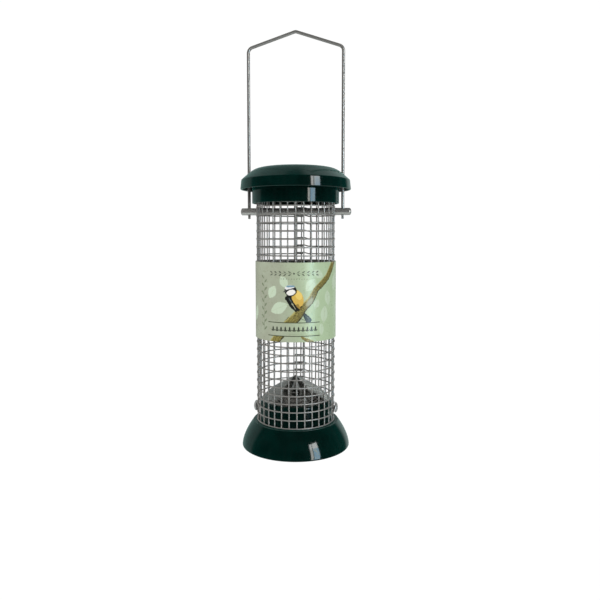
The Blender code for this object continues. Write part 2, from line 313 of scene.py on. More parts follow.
def shell_faces(shape, capped):
    """Quads of tubes of shape (tubes, rows, columns), and fans that close their ends.

    Columns close up, and a point's number is (tube * rows + row) * columns + column. Returns the
    points, rows and columns of the quads' corners, and the points of the fans' corners.
    """
    tubes, rows, columns = shape
    tube, row, column = np.meshgrid(
        np.arange(tubes), np.arange(rows - 1), np.arange(columns), indexing="ij"
    )
    corner_row = np.stack([row, row, row + 1, row + 1], -1).reshape(-1, 4)
    corner_column = np.stack([column, column + 1, column + 1, column], -1).reshape(-1, 4)
    corner_tube = np.repeat(tube.reshape(-1, 1), 4, 1)
    points = (corner_tube * rows + corner_row) * columns + corner_column % columns
    if not capped:
        return points, corner_row, corner_column, np.empty((0, 3), int)
    centres = tubes * rows * columns
    tube, end, column = np.meshgrid(np.arange(tubes), [0, 1], np.arange(columns), indexing="ij")
    start = (tube * rows + end * (rows - 1)) * columns
    here, there = start + column, start + (column + 1) % columns
    hub = centres + tube * 2 + end
    fans = np.stack([hub, np.where(end, here, there), np.where(end, there, here)], -1)
    return points, corner_row, corner_column, fans.reshape(-1, 3)


def make_piece(name, grid, capped=False, sharp=38, attributes=None, skins=None):
    """An object from a grid of points of shape (tubes, rows, columns, 3) whose columns close up.

    Its UV map "strip" has U round the columns, from 0 to 1, and V along the rows, in metres.
    Attributes are arrays of one number, or of three, for each point of the grid. Skins holds the
    material's number for each column of faces.
    """
    tubes, rows, columns = grid.shape[:3]
    quads, corner_row, corner_column, fans = shell_faces(grid.shape[:3], capped)
    points = grid.reshape(-1, 3)
    if capped:
        hubs = np.stack([grid[:, 0].mean(1), grid[:, -1].mean(1)], 1).reshape(-1, 3)
        points = np.concatenate([points, hubs])
    mesh = bpy.data.meshes.new(name)
    mesh.from_pydata(points.tolist(), [], quads.tolist() + fans.tolist())
    along = np.concatenate([[0], np.cumsum(np.linalg.norm(np.diff(grid[0, :, 0], axis=0), axis=1))])
    uv = np.zeros((len(quads) * 4 + len(fans) * 3, 2))
    uv[: len(quads) * 4, 0] = corner_column.reshape(-1) / columns
    uv[: len(quads) * 4, 1] = along[corner_row.reshape(-1)]
    mesh.uv_layers.new(name="strip").data.foreach_set("uv", uv.reshape(-1).astype(np.float32))
    for key, values in (attributes or {}).items():
        wide = values.ndim > grid.ndim - 1
        full = np.zeros((len(points), 3 if wide else 1), np.float32)
        full[: tubes * rows * columns] = values.reshape(tubes * rows * columns, -1)
        kind, field = ("FLOAT_VECTOR", "vector") if wide else ("FLOAT", "value")
        mesh.attributes.new(key, kind, "POINT").data.foreach_set(field, full.reshape(-1))
    if skins is not None:
        numbers = np.concatenate([skins[corner_column[:, 0]], np.full(len(fans), skins[-1])])
        mesh.polygons.foreach_set("material_index", numbers.astype(np.int32))
    piece = bpy.data.objects.new(name, mesh)
    bpy.context.scene.collection.objects.link(piece)
    tidy_mesh(mesh, sharp)
    return piece


def tidy_mesh(mesh, sharp=38):
    """Closes seams and poles, turns all faces outward and marks sharp edges by their angle."""
    shape = bmesh.new()
    shape.from_mesh(mesh)
    bmesh.ops.remove_doubles(shape, verts=shape.verts, dist=1e-7)
    bmesh.ops.recalc_face_normals(shape, faces=shape.faces)
    shape.to_mesh(mesh)
    shape.free()
    mesh.shade_smooth()
    mesh.set_sharp_from_angle(angle=radians(sharp))


def drill(piece, radius, places, depth, axis="Z"):
    """Cuts round holes through a piece and applies the cut to its mesh."""
    tools = []
    for place in places:
        shape = bmesh.new()
        bmesh.ops.create_cone(
            shape, cap_ends=True, segments=48, radius1=radius, radius2=radius, depth=depth
        )
        if axis == "X":
            bmesh.ops.rotate(shape, verts=shape.verts, matrix=Matrix.Rotation(pi / 2, 3, "Y"))
        bmesh.ops.translate(shape, verts=shape.verts, vec=place)
        mesh = bpy.data.meshes.new("tool")
        shape.to_mesh(mesh)
        shape.free()
        tool = bpy.data.objects.new("tool", mesh)
        bpy.context.scene.collection.objects.link(tool)
        tools.append(tool)
        cut = piece.modifiers.new("cut", "BOOLEAN")
        cut.operation, cut.solver, cut.object = "DIFFERENCE", "EXACT", tool
    bpy.context.view_layer.update()
    evaluated = piece.evaluated_get(bpy.context.evaluated_depsgraph_get())
    cut_mesh = bpy.data.meshes.new_from_object(evaluated)
    piece.modifiers.clear()
    piece.data = cut_mesh
    for tool in tools:
        bpy.data.objects.remove(tool)
    cut_mesh.shade_smooth()
    cut_mesh.set_sharp_from_angle(angle=radians(38))


def place_piece(piece, body, slot, replaced, *materials):
    """Dresses a finished piece, ties it to its body and hides the CAD node that it stands for."""
    for material in materials:
        piece.data.materials.append(material)
    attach(piece, body)
    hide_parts(replaced)


# ---------------------------------------------------------------- shader building


def node(tree, kind, inputs=None, **settings):
    """Adds a node. An input that is given a socket is linked, and any other is set."""
    made = tree.nodes.new(kind)
    for key, value in settings.items():
        setattr(made, key, value)
    for key, value in (inputs or {}).items():
        if isinstance(value, bpy.types.NodeSocket):
            tree.links.new(value, made.inputs[key])
        else:
            made.inputs[key].default_value = value
    return made


def object_point(tree):
    """Object coordinates."""
    return node(tree, "ShaderNodeTexCoord").outputs["Object"]


def parts_of(tree, vector):
    """The outputs X, Y and Z of a vector."""
    return node(tree, "ShaderNodeSeparateXYZ", {0: vector}).outputs


def vector_of(tree, x, y=0.0, z=0.0):
    """A vector from its parts."""
    return node(tree, "ShaderNodeCombineXYZ", {0: x, 1: y, 2: z}).outputs[0]


def calc(tree, operation, first, second=0.0, third=0.0, clamp=False):
    """A Math node's result."""
    made = node(tree, "ShaderNodeMath", {0: first, 1: second, 2: third}, operation=operation)
    made.use_clamp = clamp
    return made.outputs[0]


def times(tree, first, second):
    """The product of two numbers."""
    return calc(tree, "MULTIPLY", first, second)


def vector_calc(tree, operation, first, second=(0, 0, 0)):
    """A Vector Math node's result: a number for DOT_PRODUCT and LENGTH, else a vector."""
    made = node(tree, "ShaderNodeVectorMath", {0: first, 1: second}, operation=operation)
    return made.outputs[1 if operation in ("DOT_PRODUCT", "LENGTH") else 0]


def remap(tree, value, low, high, to_low=0.0, to_high=1.0):
    """The value carried smoothly from one span to another, and held at its ends."""
    made = node(
        tree, "ShaderNodeMapRange",
        {"Value": value, "From Min": low, "From Max": high, "To Min": to_low, "To Max": to_high},
        interpolation_type="SMOOTHSTEP",
    )
    return made.outputs["Result"]


def noise(tree, vector, scale, detail=3.0, roughness=0.5, distortion=0.0):
    """A Noise Texture's value over a vector."""
    made = node(tree, "ShaderNodeTexNoise", {
        "Vector": vector, "Scale": scale, "Detail": detail, "Roughness": roughness,
        "Distortion": distortion,
    })
    return made.outputs["Fac"]


def mix(tree, factor, first, second):
    """Two colours mixed by a factor."""
    made = node(tree, "ShaderNodeMix", data_type="RGBA")
    for number, value in ((0, factor), (6, first), (7, second)):
        socket = made.inputs[number]
        if isinstance(value, bpy.types.NodeSocket):
            tree.links.new(value, socket)
        elif socket.type == "RGBA":
            socket.default_value = (*value[:3], 1)
        else:
            socket.default_value = value
    return made.outputs[2]


def new_group(name, inputs, outputs):
    """An empty node group with named sockets. Returns its tree, inputs and output node."""
    tree = bpy.data.node_groups.new(name, "ShaderNodeTree")
    for direction, sockets in (("INPUT", inputs), ("OUTPUT", outputs)):
        for label, kind, *default in sockets:
            socket = tree.interface.new_socket(label, in_out=direction, socket_type=kind)
            if default:
                socket.default_value = default[0]
    entry = tree.nodes.new("NodeGroupInput")
    return tree, entry.outputs, tree.nodes.new("NodeGroupOutput")


def use_group(tree, group, **inputs):
    """Places a group in a tree. Underscores in an input's name stand for spaces."""
    values = {key.replace("_", " "): value for key, value in inputs.items()}
    made = tree.nodes.new("ShaderNodeGroup")
    made.node_tree = group
    for key, value in values.items():
        if isinstance(value, bpy.types.NodeSocket):
            tree.links.new(value, made.inputs[key])
        else:
            made.inputs[key].default_value = value
    return made.outputs


def once(build):
    """Makes a builder of a group or material run once and hand back the same one later."""
    made = {}

    def get(*args):
        if args not in made:
            made[args] = build(*args)
        return made[args]

    return get


@once
def orange_peel_group():
    """Skin of sprayed enamel: low waves of the casting below, fine orange peel and a few nibs."""
    tree, given, result = new_group(
        "Orange Peel",
        [("Vector", "NodeSocketVector"), ("Peel Size", "NodeSocketFloat", 1.4 * MM),
         ("Nibs", "NodeSocketFloat", 1.0)],
        [("Height", "NodeSocketFloat"), ("Depth", "NodeSocketFloat"), ("Nib", "NodeSocketFloat")],
    )
    fineness = calc(tree, "DIVIDE", 1.0, given["Peel Size"])
    peel = noise(tree, given["Vector"], fineness, 1.0, 0.4)
    waves = noise(tree, given["Vector"], times(tree, fineness, 0.14), 1.0, 0.4)
    spots = node(tree, "ShaderNodeTexVoronoi", {
        "Vector": given["Vector"], "Scale": times(tree, fineness, 0.22),
        "Randomness": 1.0,
    })
    nib = times(tree, remap(tree, spots.outputs["Distance"], 0.035, 0.015), given["Nibs"])
    height = calc(tree, "MULTIPLY_ADD", waves, 2.2, calc(tree, "MULTIPLY_ADD", nib, 1.5, peel))
    tree.links.new(height, result.inputs["Height"])
    tree.links.new(remap(tree, waves, 0.35, 0.68), result.inputs["Depth"])
    tree.links.new(nib, result.inputs["Nib"])
    return tree


@once
def settled_dust_group():
    """Dust where a surface faces up: a soft limit on the normal's height, broken by noise."""
    tree, given, result = new_group(
        "Settled Dust",
        [("Vector", "NodeSocketVector"), ("Amount", "NodeSocketFloat", 0.1),
         ("Grain", "NodeSocketFloat", 900.0)],
        [("Dust", "NodeSocketFloat")],
    )
    normal = node(tree, "ShaderNodeNewGeometry").outputs["Normal"]
    upward = remap(tree, parts_of(tree, normal)["Z"], 0.35, 1.0)
    grain = remap(tree, noise(tree, given["Vector"], given["Grain"], 4.0, 0.7), 0.45, 0.75)
    patches = remap(tree, noise(tree, given["Vector"], 60.0, 3.0, 0.6), 0.3, 0.75)
    dust = times(tree, times(tree, upward, grain), patches)
    tree.links.new(times(tree, dust, given["Amount"]), result.inputs["Dust"])
    return tree


@once
def drawn_wire_group():
    """Drawing marks: noise stretched along the wire, and slow smudges of handling."""
    tree, given, result = new_group(
        "Drawn Wire",
        [("Strip", "NodeSocketVector"), ("Around", "NodeSocketFloat", 14.0),
         ("Along", "NodeSocketFloat", 60.0)],
        [("Streak", "NodeSocketFloat"), ("Smudge", "NodeSocketFloat")],
    )
    strip = parts_of(tree, given["Strip"])
    turn = times(tree, strip["X"], TURN)
    circle = vector_of(
        tree,
        times(tree, calc(tree, "COSINE", turn), given["Around"]),
        times(tree, calc(tree, "SINE", turn), given["Around"]),
        times(tree, strip["Y"], given["Along"]),
    )
    slow = vector_calc(tree, "MULTIPLY", circle, (0.08, 0.08, 2.5))
    tree.links.new(noise(tree, circle, 1.0, 4.0, 0.65), result.inputs["Streak"])
    tree.links.new(noise(tree, slow, 1.0, 3.0, 0.55), result.inputs["Smudge"])
    return tree


def start_material(name):
    """A node material with its Principled shader. Returns both and the tree."""
    material = bpy.data.materials.new(name)
    material.use_nodes = True
    tree = material.node_tree
    return material, tree, tree.nodes["Principled BSDF"]


def set_shader(tree, shader, **inputs):
    """Sets or links inputs of a Principled shader. Underscores stand for spaces."""
    for key, value in inputs.items():
        socket = shader.inputs[key.replace("_", " ")]
        if isinstance(value, bpy.types.NodeSocket):
            tree.links.new(value, socket)
        elif socket.type == "RGBA":
            socket.default_value = (*value[:3], 1)
        else:
            socket.default_value = value


def bump(tree, height, strength, distance):
    """A Bump node's normal."""
    made = node(tree, "ShaderNodeBump", {
        "Height": height, "Strength": strength, "Distance": distance
    })
    return made.outputs[0]


# ---------------------------------------------------------------- materials


@once
def enamel_material():
    """Bottle-green gloss enamel over a cast surface, with a trace of dust on top."""
    finish = bpy.context.scene.feeder.finishes
    material, tree, shader = start_material("green_enamel")
    place = object_point(tree)
    skin = use_group(tree, orange_peel_group(), Vector=place, Peel_Size=1.3 * MM, Nibs=1.0)
    dust = use_group(tree, settled_dust_group(), Vector=place, Amount=0.05)["Dust"]
    paint = mix(tree, skin["Depth"], finish.enamel, finish.enamel_deep)
    paint = mix(tree, dust, paint, (0.30, 0.31, 0.28))
    rough = calc(tree, "MULTIPLY_ADD", skin["Nib"], 0.15, 0.08)
    rough = calc(tree, "MULTIPLY_ADD", dust, 2.5, rough)
    set_shader(
        tree, shader, Base_Color=paint, Roughness=rough, Sheen_Weight=0.2, Sheen_Roughness=0.45,
        Sheen_Tint=(0.05, 0.5, 0.42), Normal=bump(tree, skin["Height"], 0.12, 0.02 * MM),
    )
    return material


def steel_nodes(tree, tone, dark, around, along, rough):
    """Colour, roughness and normal of drawn stainless wire with its own strip map."""
    strip = node(tree, "ShaderNodeUVMap", uv_map="strip").outputs[0]
    marks = use_group(tree, drawn_wire_group(), Strip=strip, Around=around, Along=along)
    shade = remap(tree, marks["Streak"], 0.3, 0.7)
    colour_now = mix(tree, times(tree, shade, 0.25), tone, dark)
    colour_now = mix(tree, times(tree, marks["Smudge"], 0.2), colour_now, dark)
    roughness = calc(tree, "MULTIPLY_ADD", marks["Smudge"], 0.18, rough)
    return colour_now, roughness, bump(tree, marks["Streak"], 0.3, 0.02 * MM)


@once
def hanger_material():
    """Drawn stainless wire, a little scuffed."""
    finish = bpy.context.scene.feeder.finishes
    material, tree, shader = start_material("hanger_stainless")
    tone, rough, normal = steel_nodes(tree, finish.steel, finish.steel_dark, 9.0, 40.0, 0.3)
    set_shader(tree, shader, Base_Color=tone, Metallic=0.8, Roughness=rough, Normal=normal)
    return material


@once
def mesh_material():
    """Stainless mesh wire with a dull, straw to grey tint round each weld."""
    finish = bpy.context.scene.feeder.finishes
    material, tree, shader = start_material("mesh_stainless")
    tone, rough, normal = steel_nodes(tree, finish.steel, finish.steel_dark, 5.0, 70.0, 0.36)
    heat = node(tree, "ShaderNodeAttribute", attribute_name="weld").outputs["Fac"]
    place = object_point(tree)
    patchy = remap(tree, noise(tree, place, 420.0, 3.0, 0.6), 0.3, 0.7, 0.35, 1.0)
    tint = times(tree, heat, patchy)
    tone = mix(tree, times(tree, tint, 0.55), tone, finish.steel_dark)
    rough = calc(tree, "MULTIPLY_ADD", tint, 0.2, rough)
    set_shader(tree, shader, Base_Color=tone, Metallic=0.65, Roughness=rough, Normal=normal)
    return material


@once
def bar_material():
    """Polished bar with fine turning marks."""
    finish = bpy.context.scene.feeder.finishes
    material, tree, shader = start_material("polished_bar")
    tone, rough, normal = steel_nodes(tree, finish.bright, finish.steel_dark, 1.0, 900.0, 0.12)
    set_shader(tree, shader, Base_Color=tone, Metallic=0.74, Roughness=rough, Normal=normal)
    return material


@once
def rivet_material():
    """Bright aluminium of a set rivet, with small dents from its tool."""
    finish = bpy.context.scene.feeder.finishes
    material, tree, shader = start_material("rivet_aluminium")
    place = object_point(tree)
    dents = noise(tree, place, 700.0, 3.0, 0.6)
    tone = mix(tree, remap(tree, dents, 0.35, 0.7), finish.rivet, (0.5, 0.5, 0.5))
    rough = calc(tree, "MULTIPLY_ADD", dents, 0.25, 0.16)
    set_shader(
        tree, shader, Base_Color=tone, Metallic=0.7, Roughness=rough,
        Normal=bump(tree, dents, 0.4, 0.05 * MM),
    )
    return material


@once
def cone_material():
    """Bare, bright cone on the base, with rings left by its tool and a few dull patches."""
    finish = bpy.context.scene.feeder.finishes
    material, tree, shader = start_material("bare_cone")
    place = object_point(tree)
    away = vector_calc(tree, "LENGTH", vector_calc(tree, "MULTIPLY", place, (1, 1, 0)))
    rings = vector_of(tree, times(tree, away, 2600.0))
    marks = noise(tree, rings, 1.0, 3.0, 0.6)
    patches = noise(tree, place, 160.0, 3.0, 0.6)
    tone = mix(tree, remap(tree, patches, 0.4, 0.75, 0.0, 0.4), finish.bright, finish.steel)
    rough = remap(tree, patches, 0.35, 0.75, 0.05, 0.14)
    set_shader(
        tree, shader, Base_Color=tone, Metallic=1.0, Roughness=rough,
        Normal=bump(tree, marks, 0.15, 0.01 * MM),
    )
    return material


# ---------------------------------------------------------------- the print


def ink(red, green, blue):
    """Linear colour of an ink given by its 8-bit display values."""
    values = np.array([red, green, blue]) / 255
    return tuple(np.where(values > 0.04045, ((values + 0.055) / 1.055) ** 2.4, values / 12.92))


def turned_about(tree, point, centre, turn):
    """The point seen from a centre, in axes turned by an angle."""
    away = vector_calc(tree, "SUBTRACT", point, centre)
    made = node(tree, "ShaderNodeVectorRotate", {"Vector": away}, rotation_type="Z_AXIS")
    if isinstance(turn, bpy.types.NodeSocket):
        tree.links.new(times(tree, turn, -1.0), made.inputs["Angle"])
    else:
        made.inputs["Angle"].default_value = -turn
    return made.outputs[0]


SHAPE_INPUTS = [
    ("Vector", "NodeSocketVector"), ("Centre", "NodeSocketVector"),
    ("Half Size", "NodeSocketVector"), ("Turn", "NodeSocketFloat"),
    ("Edge", "NodeSocketFloat", 0.25),
]


@once
def spot_group():
    """Mask of a printed ellipse: its scaled distance from the centre, less one, times its width."""
    tree, given, result = new_group("Printed Spot", SHAPE_INPUTS, [("Mask", "NodeSocketFloat")])
    local = turned_about(tree, given["Vector"], given["Centre"], given["Turn"])
    scaled = vector_calc(tree, "LENGTH", vector_calc(tree, "DIVIDE", local, given["Half Size"]))
    width = parts_of(tree, given["Half Size"])["Y"]
    outside = times(tree, calc(tree, "SUBTRACT", scaled, 1.0), width)
    mask = remap(tree, outside, 0.0, times(tree, given["Edge"], -1.0))
    tree.links.new(mask, result.inputs["Mask"])
    return tree


@once
def leaf_group():
    """Mask of a printed leaf: half width falls with the square of the way from its middle.

    Vein is a thin line down its middle.
    """
    tree, given, result = new_group(
        "Printed Leaf", SHAPE_INPUTS, [("Mask", "NodeSocketFloat"), ("Vein", "NodeSocketFloat")]
    )
    local = turned_about(tree, given["Vector"], given["Centre"], given["Turn"])
    scaled = parts_of(tree, vector_calc(tree, "DIVIDE", local, given["Half Size"]))
    width = parts_of(tree, given["Half Size"])["Y"]
    squared = times(tree, scaled["X"], scaled["X"])
    room = calc(tree, "SUBTRACT", 1.0, squared)
    aside = calc(tree, "ABSOLUTE", scaled["Y"])
    inside = times(tree, calc(tree, "SUBTRACT", room, aside), width)
    mask = remap(tree, inside, 0.0, given["Edge"])
    vein = times(tree, remap(tree, aside, 0.09, 0.03), mask)
    tree.links.new(mask, result.inputs["Mask"])
    tree.links.new(vein, result.inputs["Vein"])
    return tree


@once
def stroke_group():
    """Mask of a tapered stroke between two points, and how far to its left a point lies.

    The way along is the dot product with the stroke over its length squared, held from 0 to 1.
    Side is the cross product with the stroke over its length and half width: 1 at the left edge.
    """
    tree, given, result = new_group(
        "Printed Stroke",
        [("Vector", "NodeSocketVector"), ("Start", "NodeSocketVector"), ("End", "NodeSocketVector"),
         ("Start Half Width", "NodeSocketFloat", 1.0), ("End Half Width", "NodeSocketFloat", 1.0),
         ("Edge", "NodeSocketFloat", 0.25)],
        [("Mask", "NodeSocketFloat"), ("Side", "NodeSocketFloat")],
    )
    way = vector_calc(tree, "SUBTRACT", given["End"], given["Start"])
    away = vector_calc(tree, "SUBTRACT", given["Vector"], given["Start"])
    run = calc(tree, "DIVIDE", vector_calc(tree, "DOT_PRODUCT", away, way),
               vector_calc(tree, "DOT_PRODUCT", way, way), clamp=True)
    widths = node(tree, "ShaderNodeMix", {
        0: run, 2: given["Start Half Width"], 3: given["End Half Width"]
    }).outputs[0]
    there = node(tree, "ShaderNodeVectorMath", {0: way}, operation="SCALE")
    tree.links.new(run, there.inputs["Scale"])
    gap = vector_calc(tree, "LENGTH", vector_calc(tree, "SUBTRACT", away, there.outputs[0]))
    inside = calc(tree, "SUBTRACT", widths, gap)
    tree.links.new(remap(tree, inside, 0.0, given["Edge"]), result.inputs["Mask"])
    cross = parts_of(tree, vector_calc(tree, "CROSS_PRODUCT", way, away))["Z"]
    span = times(tree, vector_calc(tree, "LENGTH", way), widths)
    tree.links.new(calc(tree, "DIVIDE", cross, span), result.inputs["Side"])
    return tree


@once
def row_group():
    """A row of like motifs along X: a point's X less the nearest whole number of steps.

    The number is held within plus or minus the count, so the row ends there.
    """
    tree, given, result = new_group(
        "Row of Motifs",
        [("Vector", "NodeSocketVector"), ("Step", "NodeSocketFloat", 1.0),
         ("Count", "NodeSocketFloat", 1.0)],
        [("Vector", "NodeSocketVector")],
    )
    point = parts_of(tree, given["Vector"])
    nearest = calc(tree, "ROUND", calc(tree, "DIVIDE", point["X"], given["Step"]))
    nearest = calc(tree, "MINIMUM", nearest, given["Count"])
    nearest = calc(tree, "MAXIMUM", nearest, times(tree, given["Count"], -1.0))
    left = calc(tree, "SUBTRACT", point["X"], times(tree, nearest, given["Step"]))
    tree.links.new(vector_of(tree, left, point["Y"]), result.inputs["Vector"])
    return tree


# Pale leaves of the ground: centre, half length and half width in millimetres, turn in degrees.
GROUND_LEAVES = [
    ((28.5, 33), (6.4, 3.6), 100), ((24.5, 20.5), (7.0, 4.0), 84), ((21.5, 9.2), (5.0, 2.7), 92),
    ((12, 43.5), (6.0, 4.2), 48), ((18.5, 52), (5.4, 3.4), 150), ((17, 29), (4.2, 2.8), 65),
    ((-19, 38), (5.6, 4.0), 60), ((-13, 26), (8.0, 4.6), 24), ((-9, 46), (5.2, 3.4), 118),
    ((39, 45), (7.5, 4.2), 70), ((46, 22), (8.0, 4.6), 112), ((60, 38), (8.5, 4.8), 60),
    ((73, 18), (7.6, 4.4), 130), ((84, 44), (8.2, 4.6), 82), ((-41, 20), (7.4, 4.2), 66),
    ((-53, 42), (8.2, 4.6), 118), ((-68, 22), (7.8, 4.4), 70), ((-82, 44), (7.6, 4.4), 100),
]
# Strokes of the bough: start, end, half widths at both, in millimetres.
BRANCH = [
    ((-20, -4), (-13.9, 3.7), 3.7, 3.8),
    ((5.0, 3.6), (12.5, -0.6), 0.9, 2.2),
    ((-13.9, 3.7), (-4.8, 14.1), 3.8, 4.1),
    ((-4.8, 14.1), (1.1, 19.9), 4.1, 3.9),
    ((1.1, 19.9), (6.2, 26.6), 3.9, 3.3),
    ((6.2, 26.6), (11.7, 31.6), 3.3, 2.9),
    ((11.7, 31.6), (16.5, 40.0), 2.9, 2.5),
    ((16.5, 40.0), (27.9, 49.2), 2.5, 2.7),
    ((27.9, 49.2), (38.6, 63), 2.7, 3.1),
]
BARK_CRACKS = [
    ((17.4, 43.0), (21.4, 40.6)), ((2.2, 19.4), (7.6, 16.4)), ((-8.6, 16.0), (-5.2, 19.4)),
]
DARK_INK = ink(46, 52, 42)
BLACK_INK = ink(22, 24, 24)


def print_layers():
    """The bird and the branch from back to front: (kind, colour, two points or sizes, numbers)."""
    return [
        ("stroke", ink(52, 70, 74), ((6.6, 21.6), (10.2, 16.8)), (1.3, 2.5)),
        ("stroke", ink(86, 104, 106), ((7.6, 20.6), (10.6, 17.4)), (0.25, 0.5)),
        ("branch", None, None, None),
        ("spot", BLACK_INK, ((-0.9, 32.2), (5.4, 8.8)), 24),
        ("spot", ink(205, 170, 74), ((1.7, 33.7), (4.3, 6.9)), 20),
        ("spot", ink(224, 194, 98), ((2.6, 35.8), (2.5, 3.6)), 20),
        ("stroke", ink(150, 122, 48), ((1.6, 28.2), (3.4, 25.8)), (1.3, 0.7)),
        ("stroke", BLACK_INK, ((-6.6, 33.6), (0.2, 24.2)), (1.6, 1.0)),
        ("stroke", ink(178, 180, 150), ((-2.6, 29.6), (0.1, 25.6)), (0.5, 0.3)),
        ("stroke", ink(84, 96, 96), ((-4.8, 33.4), (-2.2, 29.6)), (0.45, 0.4)),
        ("spot", BLACK_INK, ((-3.6, 39.4), (4.9, 4.3)), 0),
        ("spot", ink(228, 226, 220), ((-3.4, 38.1), (3.7, 2.3)), 16),
        ("spot", ink(214, 216, 216), ((-4.4, 41.7), (4.0, 2.0)), 8),
        ("stroke", ink(112, 146, 164), ((-6.4, 42.6), (-1.2, 42.9)), (0.7, 0.8)),
        ("stroke", BLACK_INK, ((-8.0, 39.3), (-0.4, 41.4)), (0.42, 0.55)),
        ("spot", ink(240, 240, 236), ((-5.0, 40.4), (0.22, 0.22)), 0),
        ("stroke", ink(74, 76, 74), ((-7.9, 39.1), (-9.7, 38.4)), (0.75, 0.15)),
    ]


def flat(*pair):
    """A point of the sheet as a vector."""
    return (*pair, 0)


class PrintArt:
    """Lays inks over each other on a point in millimetres: across from the art's middle, and up."""

    def __init__(self, tree, point, ground):
        self.tree, self.point, self.colour, self.start = tree, point, ground, point

    def home(self, point=None):
        """Goes back to the sheet's own point, or takes a new one."""
        self.start = point or self.start
        self.point = self.start

    def fold(self):
        """Mirrors what is laid next about the middle of X."""
        point = parts_of(self.tree, self.point)
        self.point = vector_of(self.tree, calc(self.tree, "ABSOLUTE", point["X"]), point["Y"])

    def row(self, centre, turn, step, count, mirrored=None):
        """Repeats what is laid next along a row about a centre, or about two mirrored ones."""
        self.point = turned_about(self.tree, self.point, flat(*centre), radians(turn))
        if mirrored:
            away = vector_calc(self.tree, "ABSOLUTE", self.point)
            self.point = vector_calc(self.tree, "SUBTRACT", away, flat(*mirrored))
        self.point = use_group(
            self.tree, row_group(), Vector=self.point, Step=step, Count=count
        )["Vector"]

    def lay(self, mask, shade):
        """Lays one ink by its mask."""
        self.colour = mix(self.tree, mask, self.colour, shade)

    def leaves(self, leaves, shade, strength=1.0, edge=0.25, vein=None):
        """Lays leaves of one ink. They meet by the larger mask."""
        total = veins = None
        for centre, half, turn in leaves:
            leaf = use_group(
                self.tree, leaf_group(), Vector=self.point, Centre=flat(*centre),
                Half_Size=(*half, 1), Turn=radians(turn), Edge=edge,
            )
            total = calc(self.tree, "MAXIMUM", total, leaf["Mask"]) if total else leaf["Mask"]
            veins = calc(self.tree, "MAXIMUM", veins, leaf["Vein"]) if veins else leaf["Vein"]
        self.lay(calc(self.tree, "MULTIPLY", total, strength), shade)
        if vein:
            self.lay(calc(self.tree, "MULTIPLY", veins, strength), vein)

    def stroke(self, ends, widths, shade, edge=0.25):
        """Lays a tapered stroke, or only works out its masks where the shade is None."""
        made = use_group(
            self.tree, stroke_group(), Vector=self.point, Start=flat(*ends[0]), End=flat(*ends[1]),
            Start_Half_Width=widths[0], End_Half_Width=widths[1], Edge=edge,
        )
        if shade is not None:
            self.lay(made["Mask"], shade)
        return made

    def spot(self, centre, half, turn, shade, edge=0.3):
        """Lays an ellipse."""
        mask = use_group(
            self.tree, spot_group(), Vector=self.point, Centre=flat(*centre),
            Half_Size=(*half, 1), Turn=radians(turn), Edge=edge,
        )["Mask"]
        self.lay(mask, shade)

    def branch(self):
        """A bough of mottled bark, darker along its lower right edge."""
        tree = self.tree
        slant = radians(48)
        grain = turned_about(tree, self.point, (0, 0, 0), slant)
        grain = vector_calc(tree, "MULTIPLY", grain, (0.22, 0.9, 1))
        mottle = remap(tree, noise(tree, grain, 0.9, 4.0, 0.7), 0.3, 0.7)
        cracks = remap(tree, noise(tree, grain, 2.6, 3.0, 0.7), 0.5, 0.62)
        bark = mix(tree, mottle, ink(104, 96, 44), ink(150, 140, 74))
        bark = mix(tree, cracks, bark, ink(66, 62, 32))
        lichen = use_group(
            tree, spot_group(), Vector=self.point, Centre=flat(11.2, 30.6),
            Half_Size=(5.2, 2.6, 1), Turn=slant, Edge=1.4,
        )["Mask"]
        bark = mix(tree, times(tree, lichen, 0.7), bark, ink(158, 164, 142))
        for start, end, first, last in BRANCH:
            made = self.stroke((start, end), (first, last), None)
            shade = mix(tree, remap(tree, made["Side"], -0.62, -0.86), bark, ink(58, 56, 40))
            shade = mix(tree, remap(tree, made["Side"], 0.55, 0.95), shade, ink(172, 166, 104))
            self.lay(made["Mask"], shade)
        for ends in BARK_CRACKS:
            self.stroke(ends, (0.2, 0.35), ink(48, 46, 34))


